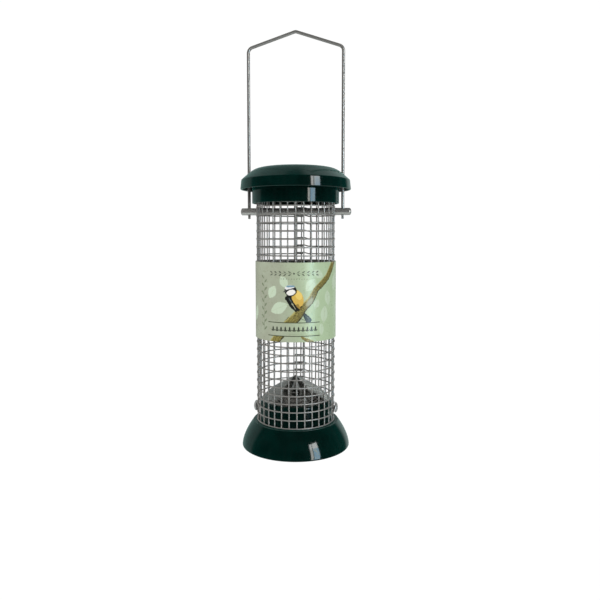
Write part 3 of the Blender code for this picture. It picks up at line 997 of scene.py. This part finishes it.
@once
def print_material():
    """Glossy printed sheet: a small generic songbird on a bough, pale leaves and dark sprigs."""
    finish = bpy.context.scene.feeder.finishes
    material, tree, shader = start_material("printed_sheet")
    chart = node(tree, "ShaderNodeAttribute", attribute_name="print").outputs["Vector"]
    point = vector_calc(tree, "MULTIPLY", chart, (1000, 1000, 0))
    wobble = node(tree, "ShaderNodeTexNoise", {"Vector": point, "Scale": 0.8, "Detail": 2.0})
    shift = vector_calc(tree, "SUBTRACT", wobble.outputs["Color"], (0.5, 0.5, 0.5))
    shift = vector_calc(tree, "MULTIPLY", shift, (1.1, 1.1, 0))
    rough_point = vector_calc(tree, "ADD", point, shift)
    sheet = parts_of(tree, point)
    wash = calc(tree, "MULTIPLY_ADD", wobble.outputs["Fac"], 8.0, sheet["X"])
    wash = remap(tree, wash, -16.0, 26.0)
    ground = mix(tree, wash, finish.print_left, finish.print_right)
    cloud = remap(tree, noise(tree, point, 0.06, 3.0, 0.6), 0.4, 0.75)
    ground = mix(tree, times(tree, cloud, 0.2), ground, finish.print_pale)
    art = PrintArt(tree, rough_point, ground)
    art.leaves(GROUND_LEAVES, finish.print_pale, 0.75, 0.5, ink(176, 190, 162))
    side_ink = ink(104, 116, 90)
    art.row((-27.3, 29.5), 90, 6.1, 3)
    art.leaves([((1.6, 1.7), (2.2, 0.8), 42), ((-1.5, -1.7), (2.2, 0.8), -42)], side_ink, 0.9)
    art.home()
    art.stroke(((-27.3, 8.6), (-27.3, 50.5)), (0.28, 0.16), side_ink)
    art.row((-1, 52.4), 0, 3.8, 2, (11, 0))
    art.leaves([((0, 1.1), (1.5, 0.6), 28)], DARK_INK, 0.85)
    art.home()
    for end in (-1, 1):
        art.stroke(((1.6 * end - 1, 52.4), (18.8 * end - 1, 52.4)), (0.2, 0.14), DARK_INK)
    art.spot((-1, 52.4), (0.9, 0.9), 0, DARK_INK)
    art.row((-1, 48.2), 0, 2, 5)
    art.spot((0, 0), (0.45, 0.45), 0, ink(80, 88, 70))
    art.home()
    for kind, shade, shape, numbers in print_layers():
        if kind == "branch":
            art.branch()
        elif kind == "spot":
            art.spot(*shape, numbers, shade)
        else:
            art.stroke(shape, numbers, shade)
    art.home(point)
    panel = 1.0
    for axis, low, high in (
        ("Y", 4.4, 4.7), ("Y", 15.1, 14.8), ("X", -22.0, -18.0), ("X", 21.0, 17.0),
    ):
        panel = times(tree, remap(tree, sheet[axis], low, high), panel)
    art.lay(panel, ground)
    for height in (14.9, 4.6):
        art.stroke(((-22.5, height), (19.6, height)), (0.42, 0.42), ink(66, 72, 52), 0.2)
    art.row((-1, 9.8), 0, 3.4, 5)
    art.leaves([((0, 0.3), (2.2, 0.8), 90)], DARK_INK)
    art.fold()
    art.leaves([((0.95, -0.9), (1.1, 0.5), 48)], DARK_INK)
    art.home()
    art.spot((-1, 6.3), (18, 0.2), 0, ink(80, 86, 64))
    fibres = noise(tree, point, 6.0, 4.0, 0.7)
    colour_now = mix(tree, remap(tree, fibres, 0.35, 0.75, 0.0, 0.1), art.colour, ink(96, 104, 84))
    rough = remap(tree, noise(tree, point, 0.25, 3.0, 0.6), 0.3, 0.7, 0.26, 0.34)
    set_shader(
        tree, shader, Base_Color=colour_now, Roughness=rough,
        Normal=bump(tree, fibres, 0.06, 0.05 * MM),
    )
    return material


@once
def sheet_back_painted_shade_material():
    """Unprinted back of the sheet, painted near-black as the shade inside the sleeve, with a faint
    fibre grain.
    """
    finish = bpy.context.scene.feeder.finishes
    material, tree, shader = start_material("sheet_back_painted_shade")
    place = object_point(tree)
    fibres = noise(tree, place, 2600.0, 4.0, 0.7)
    # The near-black tone is painted shade for the inside of the sleeve; the fibres are the sheet's
    # own grain.
    tone = mix(tree, remap(tree, fibres, 0.35, 0.7), finish.sheet_back_painted_shade, (0.06, 0.075, 0.065))
    set_shader(tree, shader, Base_Color=tone, Roughness=0.55,
               Normal=bump(tree, fibres, 0.2, 0.03 * MM))
    return material


# ---------------------------------------------------------------- pieces


def make_hanger_wire(size):
    """The wire's middle line runs foot, shoulder, peak, shoulder, foot, with both ends pinched."""
    half = leg_reach(size.wire)
    shoulder = size.wire / 2 - half * tan(size.slope)
    peak = size.wire / 2 + size.peak_bend * (1 / cos(size.slope) - 1)
    foot = WIRE_LOW.z
    corners = [(-half, foot), (-half, shoulder), (0, peak), (half, shoulder), (half, foot)]
    line = fillet(corners, [size.shoulder_bend, size.peak_bend, size.shoulder_bend], 18)
    line = supported(line, longest=4 * MM)
    blend = 1.4 * MM
    ends = np.concatenate([[0, 0.12, 0.4], np.linspace(1, size.spade / MM + 1.6, 12)]) * MM
    heights = foot + ends
    keep = line[np.abs(line[:, 1] - foot) > ends[-1] + 0.2 * MM]
    left = np.stack([np.full(len(ends), -half), heights], 1)
    right = left[::-1] * (-1, 1)
    line = np.concatenate([left, keep, right])
    path = np.stack([line[:, 0], np.zeros(len(line)), line[:, 1]], 1)[None]
    from_end = np.minimum(line[:, 1] - foot, 20 * MM)
    flatten = 1 - 0.22 * smooth(np.clip((size.spade + blend - from_end) / blend, 0, 1))
    radius = size.wire / 2 * np.interp(from_end, [0, 0.12 * MM, 0.4 * MM], [0.72, 0.9, 1])
    grid = swept(path, radius[None], 28, (0, 1, 0), flatten[None])
    return make_piece("hanger_stainless_wire", grid, capped=True)


def make_cross_bar(size):
    """A cylinder about X whose ends are domes, each a quarter of a flat ellipse."""
    radius = (BAR_HIGH.z - BAR_LOW.z) / 2
    end = BAR_HIGH.x
    turn = np.linspace(0, pi / 2, 13)
    dome = np.stack([radius * np.sin(turn), end - size.bar_dome * (1 - np.cos(turn))], 1)
    outline = supported(np.concatenate([dome, dome[::-1] * (1, -1)]), longest=3 * MM)
    grid = turned(outline, 64)
    grid = np.stack([grid[..., 2], grid[..., 1], BAR_Z - grid[..., 0]], -1)
    bar = make_piece("cross_bar_polished", grid)
    leg = leg_reach(size.wire)
    drill(bar, size.bar_hole / 2, [(-leg, 0, BAR_Z), (leg, 0, BAR_Z)], 4 * radius)
    return bar


def lid_profile(size, radius):
    """Height of the lid's outside: a parabola for the dome, less the shoulder's drop.

    That drop is its slope times a softplus of the way past the knee.
    """
    width = size.knee_width
    dome = size.dome * (radius / size.edge) ** 2
    shoulder = size.shoulder * width * np.log1p(np.exp((radius - size.knee) / width))
    return LID_HIGH.z - dome - shoulder


def make_lid(size):
    """Dome, shoulder, skirt and collar in one outline, turned about Z."""
    wall, edge = size.wall, size.edge
    radii = np.linspace(0, edge, 60)
    top = np.stack([radii, lid_profile(size, radii)], 1)
    edge_z = top[-1, 1]
    skirt_r, skirt_z = LID_HIGH.x, edge_z - size.skirt
    collar, inner, collar_z = size.collar, size.collar - wall + 0.1 * MM, LID_LOW.z
    inner_edge_z = edge_z - 0.9 * wall
    brim_z = inner_edge_z + size.shoulder * (edge - wall - collar)
    under_r = np.linspace(inner, 0, 14)
    under = np.stack([under_r, lid_profile(size, under_r) - wall], 1)
    corners = np.concatenate([
        top,
        [(skirt_r, skirt_z), (skirt_r - wall, skirt_z), (edge - wall, inner_edge_z)],
        [(collar, brim_z), (collar, collar_z), (inner, collar_z)],
        under,
    ])
    round_off = [0] * (len(top) - 2) + [size.edge_round, 0.6 * MM, 0.6 * MM, 0.5 * MM]
    round_off += [0.4 * MM, 0.45 * MM, 0.45 * MM] + [0] * (len(under) - 1)
    steps = np.linalg.norm(np.diff(corners, axis=0), axis=1)
    corners = corners[np.concatenate([[True], steps > 1e-6])]
    outline = supported(fillet(corners, round_off, 7))
    lid = make_piece("lid_enamelled", turned(outline))
    leg = leg_reach(bpy.context.scene.feeder.hanger.wire)
    middle = float(lid_profile(size, leg)) - wall
    drill(lid, size.hole / 2, [(-leg, 0, middle), (leg, 0, middle)], 12 * MM)
    return lid


def upright_turns():
    """Turns of the uprights at the tube's top, from the front towards +X.

    They stand evenly round the front and both sides, so that the bar passes between them, and a
    little closer round the back, where the two edges of the mesh overlap.
    """
    front = np.arange(-8.5, 9) * 11.25
    back = 95.625 + 11 * np.arange(1, 9)
    return np.radians(np.concatenate([-back[::-1], front, back]))


def lean_at(size, height):
    """Turn of the uprights at a height: it grows from the top down, with the power 1.4."""
    fallen = np.clip((MESH_HIGH.z - height) / (MESH_HIGH.z - MESH_LOW.z), 0, 1)
    return size.lean * fallen**1.4


def out_of_round(turn, height):
    """How far the rolled mesh stands off its circle: two slow waves that climb with the height."""
    return (0.09 * np.sin(2 * turn + 1) + 0.05 * np.sin(3 * turn + 38 * height)) * MM


def on_tube(turn, radius, height):
    """Points on the tube: the front is at turn 0, towards -Y, and turns go towards +X."""
    radius = radius + out_of_round(turn, height)
    return np.stack(np.broadcast_arrays(radius * np.sin(turn), -radius * np.cos(turn), height), -1)


WELD_REACH = 0.95 * MM


def weld_wires(name, size, paths, turn, heat):
    """Wires along paths, swollen and marked by the heat of their welds."""
    grid = swept(paths, size.wire / 2 * (1 + 0.05 * heat), 10, away_from_axis(turn))
    heat = np.repeat(heat[..., None], 10, 2)
    return make_piece(name, grid, capped=True, attributes={"weld": heat})


def make_uprights(size, rings, outer):
    """Straight wires inside the rings. Each swells a little where a ring is welded to it.

    The four beside the cross bar are pressed apart where it passes between them.
    """
    rng = np.random.default_rng(11)
    turns = upright_turns()
    steps = np.arange(rings[0] + 0.75 * MM, rings[-1] - 0.45 * MM, -size.pitch / 6)
    heights = np.unique(np.concatenate([steps, rings, [rings[-1] - 0.45 * MM]]))[::-1]
    sway = rng.uniform(-1, 1, (3, len(turns), 1))
    along = (heights - heights[0]) / (heights[-1] - heights[0])
    sway = (sway[0] * np.sin(pi * along) + sway[1] * np.sin(3 * pi * along) * 0.5) * 0.12 * MM
    turn = turns[:, None] + lean_at(size, heights) + sway / outer
    past_side = np.abs(turns) - pi / 2
    pressed = np.where(np.abs(past_side) < radians(8), np.sign(past_side * turns), 0) * size.give
    turn += pressed[:, None] / outer * falloff(heights - BAR_Z, 4 * MM)
    radius = outer - size.wire + size.bite
    paths = on_tube(turn, radius, np.broadcast_to(heights, turn.shape))
    gaps = np.abs(heights[:, None] - rings).min(1)
    heat = np.broadcast_to(falloff(gaps, WELD_REACH), turn.shape)
    return weld_wires("mesh_uprights", size, paths, turn, heat)


def make_rings(size, rings, outer):
    """Rings outside the uprights. Their ends lap at the back, one stepping up beside the other.

    The one just below the bar dips under it on both sides.
    """
    rng = np.random.default_rng(5)
    reach, front = radians(186), 1.669
    base = np.concatenate([
        np.linspace(-reach, -front, 92)[:-1], np.radians(np.arange(-51, 52) * 1.875),
        np.linspace(front, reach, 92)[1:],
    ])
    wave = rng.uniform(0, TURN, (len(rings), 2, 1))
    turn = base + lean_at(size, rings)[:, None]
    droop = (np.sin(base + wave[:, 0]) + 0.6 * np.sin(2 * base + wave[:, 1])) * 0.035 * MM
    below_bar = int(np.argmax(rings < BAR_Z))
    droop[below_bar] -= size.give * falloff((np.abs(base) - pi / 2) * outer, 5 * MM)
    step = smooth(np.clip((base - radians(164)) / radians(9), 0, 1)) * size.lap
    heights = rings[:, None] + droop + step
    paths = on_tube(turn, outer - size.wire / 2, heights)
    uprights = upright_turns()
    apart = np.abs(base[:, None] - np.concatenate([uprights, uprights + TURN, uprights - TURN]))
    heat = np.broadcast_to(falloff(apart.min(1) * outer, WELD_REACH), turn.shape)
    return weld_wires("mesh_rings", size, paths, turn, heat)


def make_sleeve(size):
    """A thin sheet wound once and a little more, its last stretch lifted over its first.

    Radius is constant but for the lift, which sets in with a smoothstep, and slow ripples.
    """
    steps, rows = 260, 20
    inner = SLEEVE_HIGH.x - size.thick
    low, high = SLEEVE_LOW.z, SLEEVE_HIGH.z
    along = np.linspace(0, 1, steps)
    turn = pi + along * (TURN + size.lap)
    past = np.clip((along * (TURN + size.lap) - TURN + radians(12)) / radians(10), 0, 1)
    lift = smooth(past) * (size.thick + 0.3 * MM)
    up = np.linspace(low, high, rows)
    ripple = np.sin(5 * turn[:, None] + 30 * up) * np.sin(pi * (up - low) / (high - low)) * 0.5
    radius = inner + lift[:, None] + size.ripple * np.minimum(ripple, 0)
    face = np.stack(np.broadcast_arrays(
        radius * np.sin(turn[:, None]), -radius * np.cos(turn[:, None]), up), -1)
    away = away_from_axis(turn)[:, None] * size.thick
    grid = np.concatenate([face + away, face[:, ::-1]], 1)[None]
    across = (turn - TURN - bpy.context.scene.feeder.stage.azimuth) * (inner + size.thick)
    across = np.broadcast_to(across[:, None], (steps, rows))
    up = np.broadcast_to(up - low, (steps, rows))
    chart = np.stack([across, up, np.zeros(up.shape)], -1)
    chart = np.concatenate([chart, chart[:, ::-1]], 1)[None]
    # The outer face takes the print; the inner face and edges take the painted-shade back.
    skins = np.r_[np.zeros(rows - 1, int), np.ones(rows + 1, int)]
    return make_piece(
        "printed_sleeve_sheet", grid, capped=True, attributes={"print": chart}, skins=skins
    )


def make_base(size):
    """Cone, plug, ledge and bell in one outline, turned about Z. The cone's skin is bare.

    The cone is straight near its apex and bends down with the square of the way past its turn.
    The bell's radius grows by one less the power of the height that is left, so that it ends
    almost upright.
    """
    wall, top, low = size.wall, BASE_HIGH.z, BASE_LOW.z
    ledge = low + size.bell
    plug_edge = size.plug - 1.2 * MM
    radii = np.linspace(0, plug_edge, 30)
    past = np.maximum(radii - size.cone_turn, 0)
    cone = np.stack([radii, top - size.cone_slope * radii - size.cone_bend * past**2], 1)
    left = np.linspace(1, 0, 40)
    bell_z = low + size.rim
    bell_r = size.shoulder + (BASE_HIGH.x - size.shoulder) * (1 - left**size.curve)
    bell = np.stack([bell_r, bell_z + (ledge - bell_z) * left], 1)
    turn = np.linspace(0, -pi / 2, 8)[1:]
    rim = np.stack([np.cos(turn), np.sin(turn)], 1) * size.rim + (BASE_HIGH.x - size.rim, bell_z)
    inner_r = BASE_HIGH.x - 1.1 * wall
    inside = bell[::-1][1:-1] - (1.15 * wall, 0.25 * wall)
    hollow_r, bevel = size.plug - wall, 1 * MM
    hollow = [
        (hollow_r + bevel, ledge - wall), (hollow_r, ledge - wall + bevel),
        (hollow_r, cone[-1, 1] - 1.7 * wall),
    ]
    under = cone[::-1][1:] * (0.94, 1) - (0, 1.3 * wall)
    edge_z = cone[-1, 1] - 1.2 * MM
    corners = np.concatenate([
        cone, [(size.plug, edge_z), (size.plug, ledge)], bell, rim, [(inner_r, low)], inside,
        hollow, under,
    ])
    round_off = [0] * (len(cone) - 2) + [0.9 * MM, 0.9 * MM, 0.3 * MM, 0.35 * MM]
    round_off += [0] * (len(bell) - 1 + len(rim) + 1 + len(inside)) + [0.4 * MM] * 3
    round_off += [0] * (len(corners) - 2 - len(round_off))
    outline = supported(fillet(corners, round_off, 6))
    base = make_piece("base_enamelled", turned(outline))
    drill(base, 1.9 * MM, [(-size.plug, 0, RIVET_Z), (size.plug, 0, RIVET_Z)], 8 * MM, "X")
    faces = base.data.polygons
    middles, normals = np.empty(3 * len(faces)), np.empty(3 * len(faces))
    faces.foreach_get("center", middles)
    faces.foreach_get("normal", normals)
    bare = (middles[2::3] > cone[-1, 1]) & (normals[2::3] > 0)
    faces.foreach_set("material_index", bare.astype(np.int32))
    return base


def make_rivet(name, sign):
    """A blind rivet turned about X: its shank, swollen inside, and a low domed head.

    The stem's broken end stands in the middle of the head.
    """
    head_r = (RIVET_HIGH.z - RIVET_LOW.z) / 2
    shank_r, swollen_r, crown = 1.5 * MM, 2.5 * MM, 2.5 * MM
    seat, tail = RIVET_HIGH.x - crown, RIVET_LOW.x
    turn = np.linspace(0.24, pi / 2, 14)
    dome = np.stack([head_r * np.sin(turn), seat + crown * (0.2 + 0.8 * np.cos(turn))], 1)
    stem = [
        (0, seat + 1.5 * MM), (0.62 * MM, seat + 1.45 * MM), (0.72 * MM, seat + 1.1 * MM),
        (0.82 * MM, seat + 1.1 * MM),
    ]
    shank = [
        (head_r, seat), (shank_r, seat), (shank_r, 27.1 * MM), (swollen_r, 26.74 * MM),
        (swollen_r, tail + 1 * MM), (shank_r, tail), (0, tail),
    ]
    corners = np.concatenate([stem, dome, shank])
    round_off = [0.1 * MM, 0.05 * MM, 0.05 * MM, 0.15 * MM] + [0] * (len(dome) - 1)
    round_off += [0.2 * MM, 0.1 * MM, 0.1 * MM, 0.1 * MM, 0.2 * MM, 0.2 * MM]
    outline = supported(fillet(corners, round_off, 4), near=0.06 * MM, longest=0.8 * MM)
    grid = turned(outline, 48)
    grid = np.stack([sign * grid[..., 2], grid[..., 1], RIVET_Z - sign * grid[..., 0]], -1)
    return make_piece(name, grid)


# ---------------------------------------------------------------- stage


def stage_material(name, tone, glow):
    """A pale matt surface that also gives off a little light of its own, with a fine mottle."""
    material, tree, shader = start_material(name)
    place = object_point(tree)
    shade = remap(tree, noise(tree, place, 6.0, 2.0, 0.5), 0.3, 0.7, 0.98 * tone, tone)
    paint = node(tree, "ShaderNodeCombineColor", {0: shade, 1: shade, 2: shade}).outputs[0]
    set_shader(tree, shader, Base_Color=paint, Roughness=1.0, Emission_Color=(1, 1, 1),
               Emission_Strength=glow)
    return material


def glow_material(name):
    """A material that only gives off light. Returns it with its tree and its Emission node."""
    material = bpy.data.materials.new(name)
    material.use_nodes = True
    tree = material.node_tree
    tree.nodes.remove(tree.nodes["Principled BSDF"])
    light = node(tree, "ShaderNodeEmission", {"Strength": 1.0})
    tree.links.new(light.outputs[0], tree.nodes["Material Output"].inputs[0])
    return material, tree, light


def see_only(piece, **kinds):
    """Switches off every kind of ray but those named."""
    for kind in ("camera", "diffuse", "glossy", "transmission", "volume_scatter", "shadow"):
        setattr(piece, f"visible_{kind}", kinds.get(kind, False))


def make_sweep(floor_z):
    """Floor and wall in one surface of revolution, with a quarter-circle bend between them."""
    reach, ceiling, bend = 2.4, 3.2, 0.9
    corners = [(0, floor_z), (reach, floor_z), (reach, ceiling), (0, ceiling)]
    outline = fillet(corners, [bend, bend], 12)
    grid = turned(outline, 96)
    sweep = make_piece("pale_sweep", grid)
    sweep.data.flip_normals()
    sweep.data.materials.append(stage_material("pale_sweep", 0.25, 0.75))
    see_only(sweep, camera=True, diffuse=True, transmission=True, shadow=True)


def make_room(eye, azimuth):
    """What gloss sees: grey walls behind and beside the feeder, a pale floor and a dim room."""
    rise = np.linspace(0, pi, 25)
    reach = 3
    outline = np.stack([reach * np.sin(rise), reach * np.cos(rise) + eye], 1)
    room = make_piece("reflected_room", turned(outline, 72))
    material, tree, light = glow_material("reflected_room")
    place = object_point(tree)
    way = vector_calc(tree, "NORMALIZE", vector_calc(tree, "SUBTRACT", place, (0, 0, eye)))
    way = parts_of(tree, turned_about(tree, way, (0, 0, 0), azimuth))
    turn = calc(tree, "ARCTAN2", way["X"], times(tree, way["Y"], -1.0))
    left = remap(tree, turn, radians(-97), radians(-111), 0.0, 0.24)
    right = remap(tree, turn, radians(126), radians(142), 0.0, 0.5)
    right = times(tree, right, remap(tree, turn, radians(150), radians(174), 1.0, 0.5))
    wall = calc(tree, "MAXIMUM", left, right)
    wall = times(tree, wall, remap(tree, way["Z"], sin(radians(82)), sin(radians(70))))
    columns = vector_calc(tree, "MULTIPLY", place, (2.4, 2.4, 0.3))
    dim = remap(tree, noise(tree, columns, 1.0, 3.0, 0.6), 0.45, 0.62, 0.002, 0.03)
    ground = remap(tree, way["Z"], -0.36, -0.62, 0.0, 0.5)
    level = calc(tree, "ADD", calc(tree, "MAXIMUM", wall, ground), dim)
    shade = node(tree, "ShaderNodeVectorMath", {0: (0.94, 1.04, 1.02)}, operation="SCALE")
    tree.links.new(level, shade.inputs["Scale"])
    tree.links.new(shade.outputs[0], light.inputs["Color"])
    room.data.materials.append(material)
    see_only(room, glossy=True)


def window_material():
    """Daylight in two panes: a narrow warm one, a wide bluish one, and white along the top."""
    material, tree, light = glow_material("window_pane")
    chart = node(tree, "ShaderNodeUVMap", uv_map="pane").outputs[0]
    pane = parts_of(tree, chart)
    outside = noise(tree, vector_calc(tree, "MULTIPLY", chart, (5, 7, 0)), 1.0, 4.0, 0.7)
    wide = mix(tree, remap(tree, outside, 0.5, 0.62), (3.8, 6.0, 7.8), (7.4, 7.8, 6.2))
    shade = mix(tree, remap(tree, pane["X"], 0.29, 0.31), (7.2, 7.2, 6.8), wide)
    shade = mix(tree, remap(tree, pane["Y"], 0.72, 0.8), shade, (9.5, 9.6, 9.6))
    bar = calc(tree, "ABSOLUTE", calc(tree, "SUBTRACT", pane["X"], 0.3))
    shade = mix(tree, remap(tree, bar, 0.05, 0.03), shade, (0.4, 0.5, 0.5))
    tree.links.new(shade, light.inputs["Color"])
    return material


def make_window(name, azimuth, low, high, left, right, distance):
    """A card of light that gloss reflects, upright and bent about the feeder.

    Its lowest, highest, left and right directions are in degrees.
    """
    turn = np.linspace(radians(left), radians(right), 5) + azimuth
    rise = np.tan(np.radians([low, high]))
    eye = -158 * MM
    points = [
        (distance * sin(a), -distance * cos(a), eye + distance * slope)
        for slope in rise for a in turn
    ]
    count = len(turn)
    faces = [(i, i + 1, count + i + 1, count + i) for i in range(count - 1)]
    mesh = bpy.data.meshes.new(name)
    mesh.from_pydata(points, [], faces)
    card = bpy.data.objects.new(name, mesh)
    bpy.context.scene.collection.objects.link(card)
    chart = np.array([(i / (count - 1), row) for row in (0, 1) for i in range(count)])
    corners = chart[np.array(faces).reshape(-1)]
    mesh.uv_layers.new(name="pane").data.foreach_set("uv", corners.reshape(-1).astype(np.float32))
    mesh.materials.append(window_material())
    see_only(card, glossy=True)


def make_light(name, place, target, size, power, shade):
    """A round area light that gloss doesn't show."""
    data = bpy.data.lights.new(name, "AREA")
    data.shape, data.size, data.energy, data.color = "DISK", size, power, shade
    lamp = bpy.data.objects.new(name, data)
    lamp.location = place
    lamp.rotation_euler = (Vector(target) - Vector(place)).to_track_quat("-Z", "Y").to_euler()
    lamp.visible_glossy = False
    bpy.context.scene.collection.objects.link(lamp)


def make_camera(stage):
    """A camera turned a little towards +X and looking slightly down."""
    data = bpy.data.cameras.new("camera")
    data.lens, data.sensor_width = stage.lens, 36
    data.shift_y = stage.shift
    data.clip_start, data.clip_end = 0.01, 50
    camera = bpy.data.objects.new("camera", data)
    turn = Matrix.Rotation(stage.azimuth, 4, "Z")
    place = Matrix.Translation((stage.aside, -stage.distance, stage.eye_level))
    look = Matrix.Rotation(pi / 2 - stage.tilt, 4, "X")
    camera.matrix_world = turn @ place @ look
    bpy.context.scene.collection.objects.link(camera)
    bpy.context.scene.camera = camera


def make_stage(stage):
    """World, sweep, mirrored room and window, key light and camera."""
    scene = bpy.context.scene
    world = bpy.data.worlds.new("studio")
    world.use_nodes = True
    world.node_tree.nodes["Background"].inputs["Color"].default_value = (1, 1, 1, 1)
    scene.world = world
    scene.view_settings.view_transform = "Standard"
    make_sweep(CAD_BOX[0][2] - stage.drop)
    make_room(stage.eye_level, stage.azimuth)
    make_window(
        "window_pane", stage.azimuth, low=-20, high=28, left=31.8, right=51, distance=1.6
    )
    make_light(
        "key", place=(-0.9, -1.3, 1.1), target=(0, 0, -0.2), size=0.9, power=12,
        shade=(1, 0.98, 0.95),
    )
    make_camera(stage)


# ---------------------------------------------------------------- add-on


class FeederSettings(bpy.types.PropertyGroup):
    """All sizes and colours of the feeder."""

    hanger: PointerProperty(type=HangerSizes)
    lid: PointerProperty(type=LidSizes)
    mesh: PointerProperty(type=MeshSizes)
    sleeve: PointerProperty(type=SleeveSizes)
    base: PointerProperty(type=BaseSizes)
    finishes: PointerProperty(type=Finishes)
    stage: PointerProperty(type=StageSettings)


class FEEDER_OT_hanger_wire(bpy.types.Operator):
    """Bend the hanger's stainless wire"""

    bl_idname = "feeder.hanger_wire"
    bl_label = "Hanger Wire"

    def execute(self, context):
        wire = make_hanger_wire(context.scene.feeder.hanger)
        place_piece(wire, "hanger", "stainless_wire", "hanger_wire", hanger_material())
        return {"FINISHED"}


class FEEDER_OT_cross_bar(bpy.types.Operator):
    """Turn and drill the polished cross bar"""

    bl_idname = "feeder.cross_bar"
    bl_label = "Cross Bar"

    def execute(self, context):
        bar = make_cross_bar(context.scene.feeder.hanger)
        place_piece(bar, "hanger", "polished_bar", "cross_bar", bar_material())
        return {"FINISHED"}


class FEEDER_OT_lid(bpy.types.Operator):
    """Cast and enamel the lid"""

    bl_idname = "feeder.lid"
    bl_label = "Lid"

    def execute(self, context):
        lid = make_lid(context.scene.feeder.lid)
        place_piece(lid, "lid", "green_enamel", "lid", enamel_material())
        return {"FINISHED"}


class FEEDER_OT_mesh(bpy.types.Operator):
    """Weld the uprights and rings of the mesh tube"""

    bl_idname = "feeder.mesh"
    bl_label = "Mesh Tube"

    def execute(self, context):
        size = context.scene.feeder.mesh
        top = MESH_HIGH.z - size.wire / 2
        rings = top - size.pitch * np.arange(size.rings)
        outer = size.radius
        for piece in (make_uprights(size, rings, outer), make_rings(size, rings, outer)):
            place_piece(piece, "feeder", "stainless_mesh", "mesh_tube", mesh_material())
        return {"FINISHED"}


class FEEDER_OT_sleeve(bpy.types.Operator):
    """Wind the printed sheet round the mesh"""

    bl_idname = "feeder.sleeve"
    bl_label = "Printed Sleeve"

    def execute(self, context):
        sleeve = make_sleeve(context.scene.feeder.sleeve)
        finishes = (print_material(), sheet_back_painted_shade_material())
        place_piece(sleeve, "feeder", "printed_sleeve", "label_sleeve", *finishes)
        return {"FINISHED"}


class FEEDER_OT_base(bpy.types.Operator):
    """Cast and enamel the base"""

    bl_idname = "feeder.base"
    bl_label = "Base"

    def execute(self, context):
        base = make_base(context.scene.feeder.base)
        finishes = (enamel_material(), cone_material())
        place_piece(base, "feeder", "green_enamel", "base_casting", *finishes)
        return {"FINISHED"}


class FEEDER_OT_rivets(bpy.types.Operator):
    """Set the two rivets through mesh and plug"""

    bl_idname = "feeder.rivets"
    bl_label = "Rivets"

    def execute(self, context):
        for side, sign in (("left", -1), ("right", 1)):
            rivet = make_rivet(f"rivet_set_{side}", sign)
            place_piece(rivet, "feeder", "rivet_metal", f"rivet_{side}", rivet_material())
        return {"FINISHED"}


class FEEDER_OT_stage(bpy.types.Operator):
    """Set up the camera, the light and the pale sweep"""

    bl_idname = "feeder.stage"
    bl_label = "Stage"

    def execute(self, context):
        make_stage(context.scene.feeder.stage)
        return {"FINISHED"}


OPERATORS = (
    FEEDER_OT_hanger_wire, FEEDER_OT_cross_bar, FEEDER_OT_lid, FEEDER_OT_mesh, FEEDER_OT_sleeve,
    FEEDER_OT_base, FEEDER_OT_rivets, FEEDER_OT_stage,
)


class FEEDER_PT_panel(bpy.types.Panel):
    """Lists the feeder's operators and settings."""

    bl_idname = "FEEDER_PT_panel"
    bl_label = "Hanging Peanut Feeder"
    bl_space_type = "VIEW_3D"
    bl_region_type = "UI"
    bl_category = "Feeder"

    def draw(self, context):
        layout = self.layout
        for operator in OPERATORS:
            layout.operator(operator.bl_idname)
        settings = context.scene.feeder
        for part in ("hanger", "lid", "mesh", "sleeve", "base", "finishes", "stage"):
            group = getattr(settings, part)
            box = layout.box()
            box.label(text=part.title())
            for key in group.bl_rna.properties.keys():
                if key not in ("rna_type", "name"):
                    box.prop(group, key)


CLASSES = (
    HangerSizes, LidSizes, MeshSizes, SleeveSizes, BaseSizes, Finishes, StageSettings,
    FeederSettings, *OPERATORS, FEEDER_PT_panel,
)


def register():
    """Adds the classes, and the settings to the scene."""
    for kind in CLASSES:
        bpy.utils.register_class(kind)
    bpy.types.Scene.feeder = PointerProperty(type=FeederSettings)


def unregister():
    """Takes them all away again."""
    del bpy.types.Scene.feeder
    for kind in reversed(CLASSES):
        bpy.utils.unregister_class(kind)


def main():
    """Builds every piece and the stage."""
    register()
    for operator in OPERATORS:
        group, name = operator.bl_idname.split(".")
        getattr(getattr(bpy.ops, group), name)()


if __name__ == "__main__":
    main()
